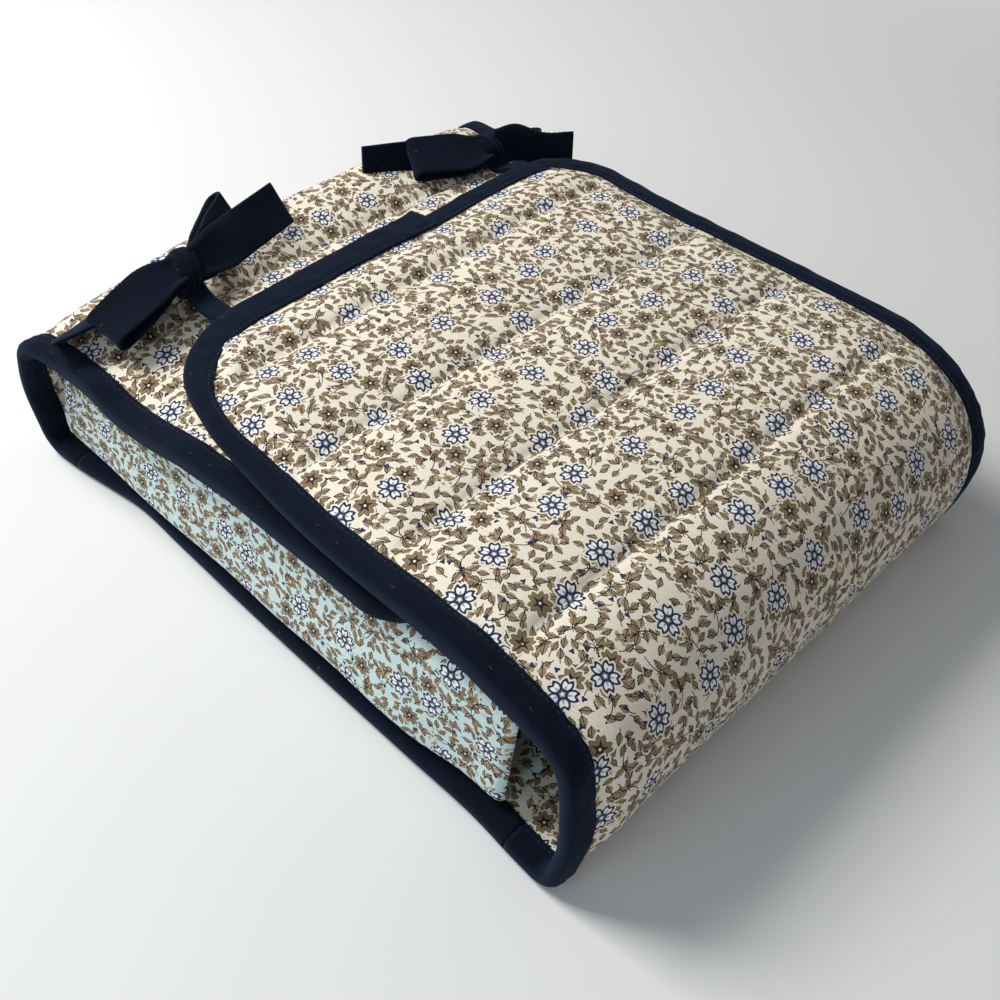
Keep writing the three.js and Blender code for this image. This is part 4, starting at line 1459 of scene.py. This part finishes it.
class CARRIER_OT_bows(bpy.types.Operator):
    """Makes the two bow ties: knots, loops, tails and the ties that hold them"""

    bl_idname = "carrier.bows"
    bl_label = "Make Bow Ties"

    def execute(self, context):
        sizes = settings()[0]
        navy = bpy.data.materials["navy_cotton_cloth"]
        thread = bpy.data.materials["navy_thread"]
        for number, (bow, (centre, straps)) in enumerate(BOWS.items()):
            knot = np.array(centre, float)
            piece = knot_object(f"{bow}_knot_band", knot, navy, *KNOT_SHAPES[number])
            place_soft(piece, [f"{bow}_knot"])
            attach(piece, "front_flap")
            for place, (strap, side, front, loop, tip, lean, droop) in enumerate(straps):
                body = f"{bow}_{strap}"
                root = knot + ACROSS_TIES * side * (KNOT_BAND / 2 - 4) + OUT_OF_BOW * SEATS[front, loop]
                end = knot + np.array(tip) * TIP_SCALE
                down = np.array([0, 0, -droop])
                lead = root + ACROSS_TIES * side * LEAD_LENGTH + LEAD_SHARE * (end - root) + 0.7 * down
                points = [root, lead, (lead + end) / 2 + 0.6 * down, end]
                root_lean = unit(ACROSS_BOW + np.array(lean))
                seed = 70 + 10 * number + place
                tape, rows, length = make_strap(
                    f"{body}_tape", points, root_lean, lean, loop, sizes, navy, seed
                )
                place_soft(tape, [body])
                length * MM
                sewn = stitch_object(f"{body}_stitches", rows, thread, length=2.0, radius=0.17, rise=0.2)
                for made in (tape, place_soft(sewn)):
                    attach(made, body)
            self.make_ties(bow, knot, sizes, navy, number)
        return {"FINISHED"}

    def make_ties(self, bow, knot, sizes, navy, number):
        """The tie from the front flap's end to the knot, and the tie sewn on the back flap."""
        sewn_at = wrap_point(knot[0], WRAP.length - 6, -PAD / 2)
        edge = wrap_point(knot[0], WRAP.length + 3, -PAD / 2)
        seat = knot - ACROSS_BOW * 8
        front = [seat, seat - ACROSS_BOW * 4, edge, sewn_at]
        root = wrap_point(knot[0], knot[1] - BACK_FLAP_END + BACK_TIE_LENGTH, 3.2)
        lower = knot - OUT_OF_BOW * 5
        back = [lower, lower - OUT_OF_BOW * 4 + ACROSS_BOW * 3, root - np.array([0, 9, 0]), root]
        ways = (ACROSS_TIES, ACROSS_TIES)
        for name, points, body in (("front_tie", front, "front_flap"), ("back_tie", back, "back_flap")):
            label = f"{bow}_{name}_tape"
            tape, _, _ = make_strap(label, points, *ways, False, sizes, navy, 90 + number, NARROW_SHARE)
            place_soft(tape, [f"{bow}_{name}"])
            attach(tape, body)


# Stage


CAMERA_PLACE = (-0.3533, -0.2865, 0.4304)
CAMERA_AZIMUTH = -46.863
CAMERA_ELEVATION = 46.013
CAMERA_ROLL = 3.301
CAMERA_LENS = 42.52
CAMERA_SENSOR = 36
CAMERA_SHIFT = (0.068, 0.028)
ROOM_LIGHT = 0.22
PALE_BACKDROP = 0.86
BACKDROP_COLOUR = (0.95, 0.97, 1.0, 1)
FLOOR_FADE = (0.5, 1.5)
FLOOR_REACH = 3000.0
FLOOR_LEVEL = -0.2
LAMP_AIM = (0, 0, 0.05)
# Each lamp: its name, place, power, size and colour
LAMPS = (
    ("window", (-0.45, 0.96, 1.145), 24, 0.6, (1, 0.995, 0.98)),
    ("left_fill", (-1.1, -0.15, 0.6), 3.4, 0.7, (0.78, 0.91, 1)),
)


def camera_turn():
    """Camera axes from its azimuth, its elevation and the roll about its own line of sight."""
    azimuth, elevation = math.radians(CAMERA_AZIMUTH), math.radians(CAMERA_ELEVATION)
    back = Vector((
        math.sin(azimuth) * math.cos(elevation),
        -math.cos(azimuth) * math.cos(elevation),
        math.sin(elevation),
    ))
    right = (-back).cross(Vector((0, 0, 1))).normalized()
    up = back.cross(right)
    upright = Matrix((right, up, back)).transposed()
    return upright @ Matrix.Rotation(math.radians(CAMERA_ROLL), 3, "Z")


def seen_rays(tree):
    """One for rays that show the backdrop, straight or by gloss or glass, and nought for its light."""
    rays = add_node(tree, "ShaderNodeLightPath").outputs
    shown = Field(tree, rays["Is Camera Ray"])
    for kind in ("Is Glossy Ray", "Is Transmission Ray"):
        shown = shown.either(Field(tree, rays[kind]))
    return shown


def floor_material(colour):
    """Floor that keeps shadows near the carrier and turns to the backdrop's own colour far from it."""
    values = {"Roughness": 0.9, "Emission Color": BACKDROP_COLOUR}
    material, tree, shader = new_material("pale_floor", values)
    place = add_node(tree, "ShaderNodeNewGeometry").outputs["Position"]
    distance = add_node(tree, "ShaderNodeVectorMath", {0: place}, operation="LENGTH").outputs["Value"]
    span = {"Value": distance, "From Min": FLOOR_FADE[0], "From Max": FLOOR_FADE[1]}
    far = add_node(tree, "ShaderNodeMapRange", span, interpolation_type="SMOOTHSTEP").outputs["Result"]
    share = seen_rays(tree) * Field(tree, far)
    put(tree, shader.inputs["Emission Strength"], share * PALE_BACKDROP)
    put(tree, shader.inputs["Base Color"], mix(tree, share, colour_value(colour), (0, 0, 0, 1)))
    return material


def pale_room():
    """World that lights the carrier softly and shows as a pale backdrop."""
    world = bpy.data.worlds.new("pale_room")
    world.use_nodes = True
    tree = world.node_tree
    sky = tree.nodes["Background"]
    sky.inputs["Color"].default_value = BACKDROP_COLOUR
    put(tree, sky.inputs["Strength"], seen_rays(tree) * (PALE_BACKDROP - ROOM_LIGHT) + ROOM_LIGHT)
    return world


def add_lamp(name, place, power, size, colour):
    """A square soft lamp turned to face the carrier."""
    data = bpy.data.lights.new(name, "AREA")
    data.energy, data.size, data.color = power, size, colour
    lamp = bpy.data.objects.new(name, data)
    lamp.location = place
    lamp.rotation_euler = (Vector(LAMP_AIM) - Vector(place)).to_track_quat("-Z", "Y").to_euler()
    bpy.context.scene.collection.objects.link(lamp)


class CARRIER_OT_stage(bpy.types.Operator):
    """Makes the pale floor, the soft lamps and the camera"""

    bl_idname = "carrier.stage"
    bl_label = "Make Stage"

    def execute(self, context):
        colours = settings()[1]
        scene = context.scene
        scene.view_settings.view_transform = "Standard"
        reach = np.array([-FLOOR_REACH, FLOOR_REACH])
        grid = np.stack(np.meshgrid(reach, reach, [FLOOR_LEVEL]), -1).reshape(2, 2, 3)
        corners = np.array([[0, 1, 3, 2]])
        floor = cloth_object("floor", grid[:, ::-1], corners, floor_material(colours.floor))
        scene.world = pale_room()
        for lamp in LAMPS:
            add_lamp(*lamp)
        camera = bpy.data.objects.new("camera", bpy.data.cameras.new("camera"))
        camera.data.lens = CAMERA_LENS
        camera.data.sensor_width = CAMERA_SENSOR
        camera.data.shift_x, camera.data.shift_y = CAMERA_SHIFT
        camera.location = CAMERA_PLACE
        camera.rotation_euler = camera_turn().to_euler()
        scene.collection.objects.link(camera)
        scene.camera = camera
        return {"FINISHED"}


class CARRIER_PT_panel(bpy.types.Panel):
    """Lists the steps, sizes and colours of the carrier"""

    bl_idname = "CARRIER_PT_panel"
    bl_label = "Casserole Carrier"
    bl_space_type = "VIEW_3D"
    bl_region_type = "UI"
    bl_category = "Carrier"

    def draw(self, context):
        for step in STEPS:
            self.layout.operator(step.bl_idname)
        for group in settings():
            for name in group.__annotations__:
                self.layout.prop(group, name)


STEPS = (
    CARRIER_OT_materials,
    CARRIER_OT_stage,
    CARRIER_OT_wrap,
    CARRIER_OT_binding,
    CARRIER_OT_quilting,
    CARRIER_OT_panel,
    CARRIER_OT_bows,
)
CLASSES = (CarrierSizes, CarrierColours, *STEPS, CARRIER_PT_panel)


def register():
    """Adds the carrier's classes and settings."""
    for made in CLASSES:
        bpy.utils.register_class(made)
    bpy.types.Scene.carrier_sizes = bpy.props.PointerProperty(type=CarrierSizes)
    bpy.types.Scene.carrier_colours = bpy.props.PointerProperty(type=CarrierColours)


def unregister():
    """Takes the carrier's classes and settings away."""
    del bpy.types.Scene.carrier_colours
    del bpy.types.Scene.carrier_sizes
    for made in reversed(CLASSES):
        bpy.utils.unregister_class(made)


def main():
    """Runs the steps in order."""
    register()
    bpy.ops.carrier.materials()
    bpy.ops.carrier.stage()
    bpy.ops.carrier.wrap()
    bpy.ops.carrier.binding()
    bpy.ops.carrier.quilting()
    bpy.ops.carrier.panel()
    bpy.ops.carrier.bows()


if __name__ == "__main__":
    main()
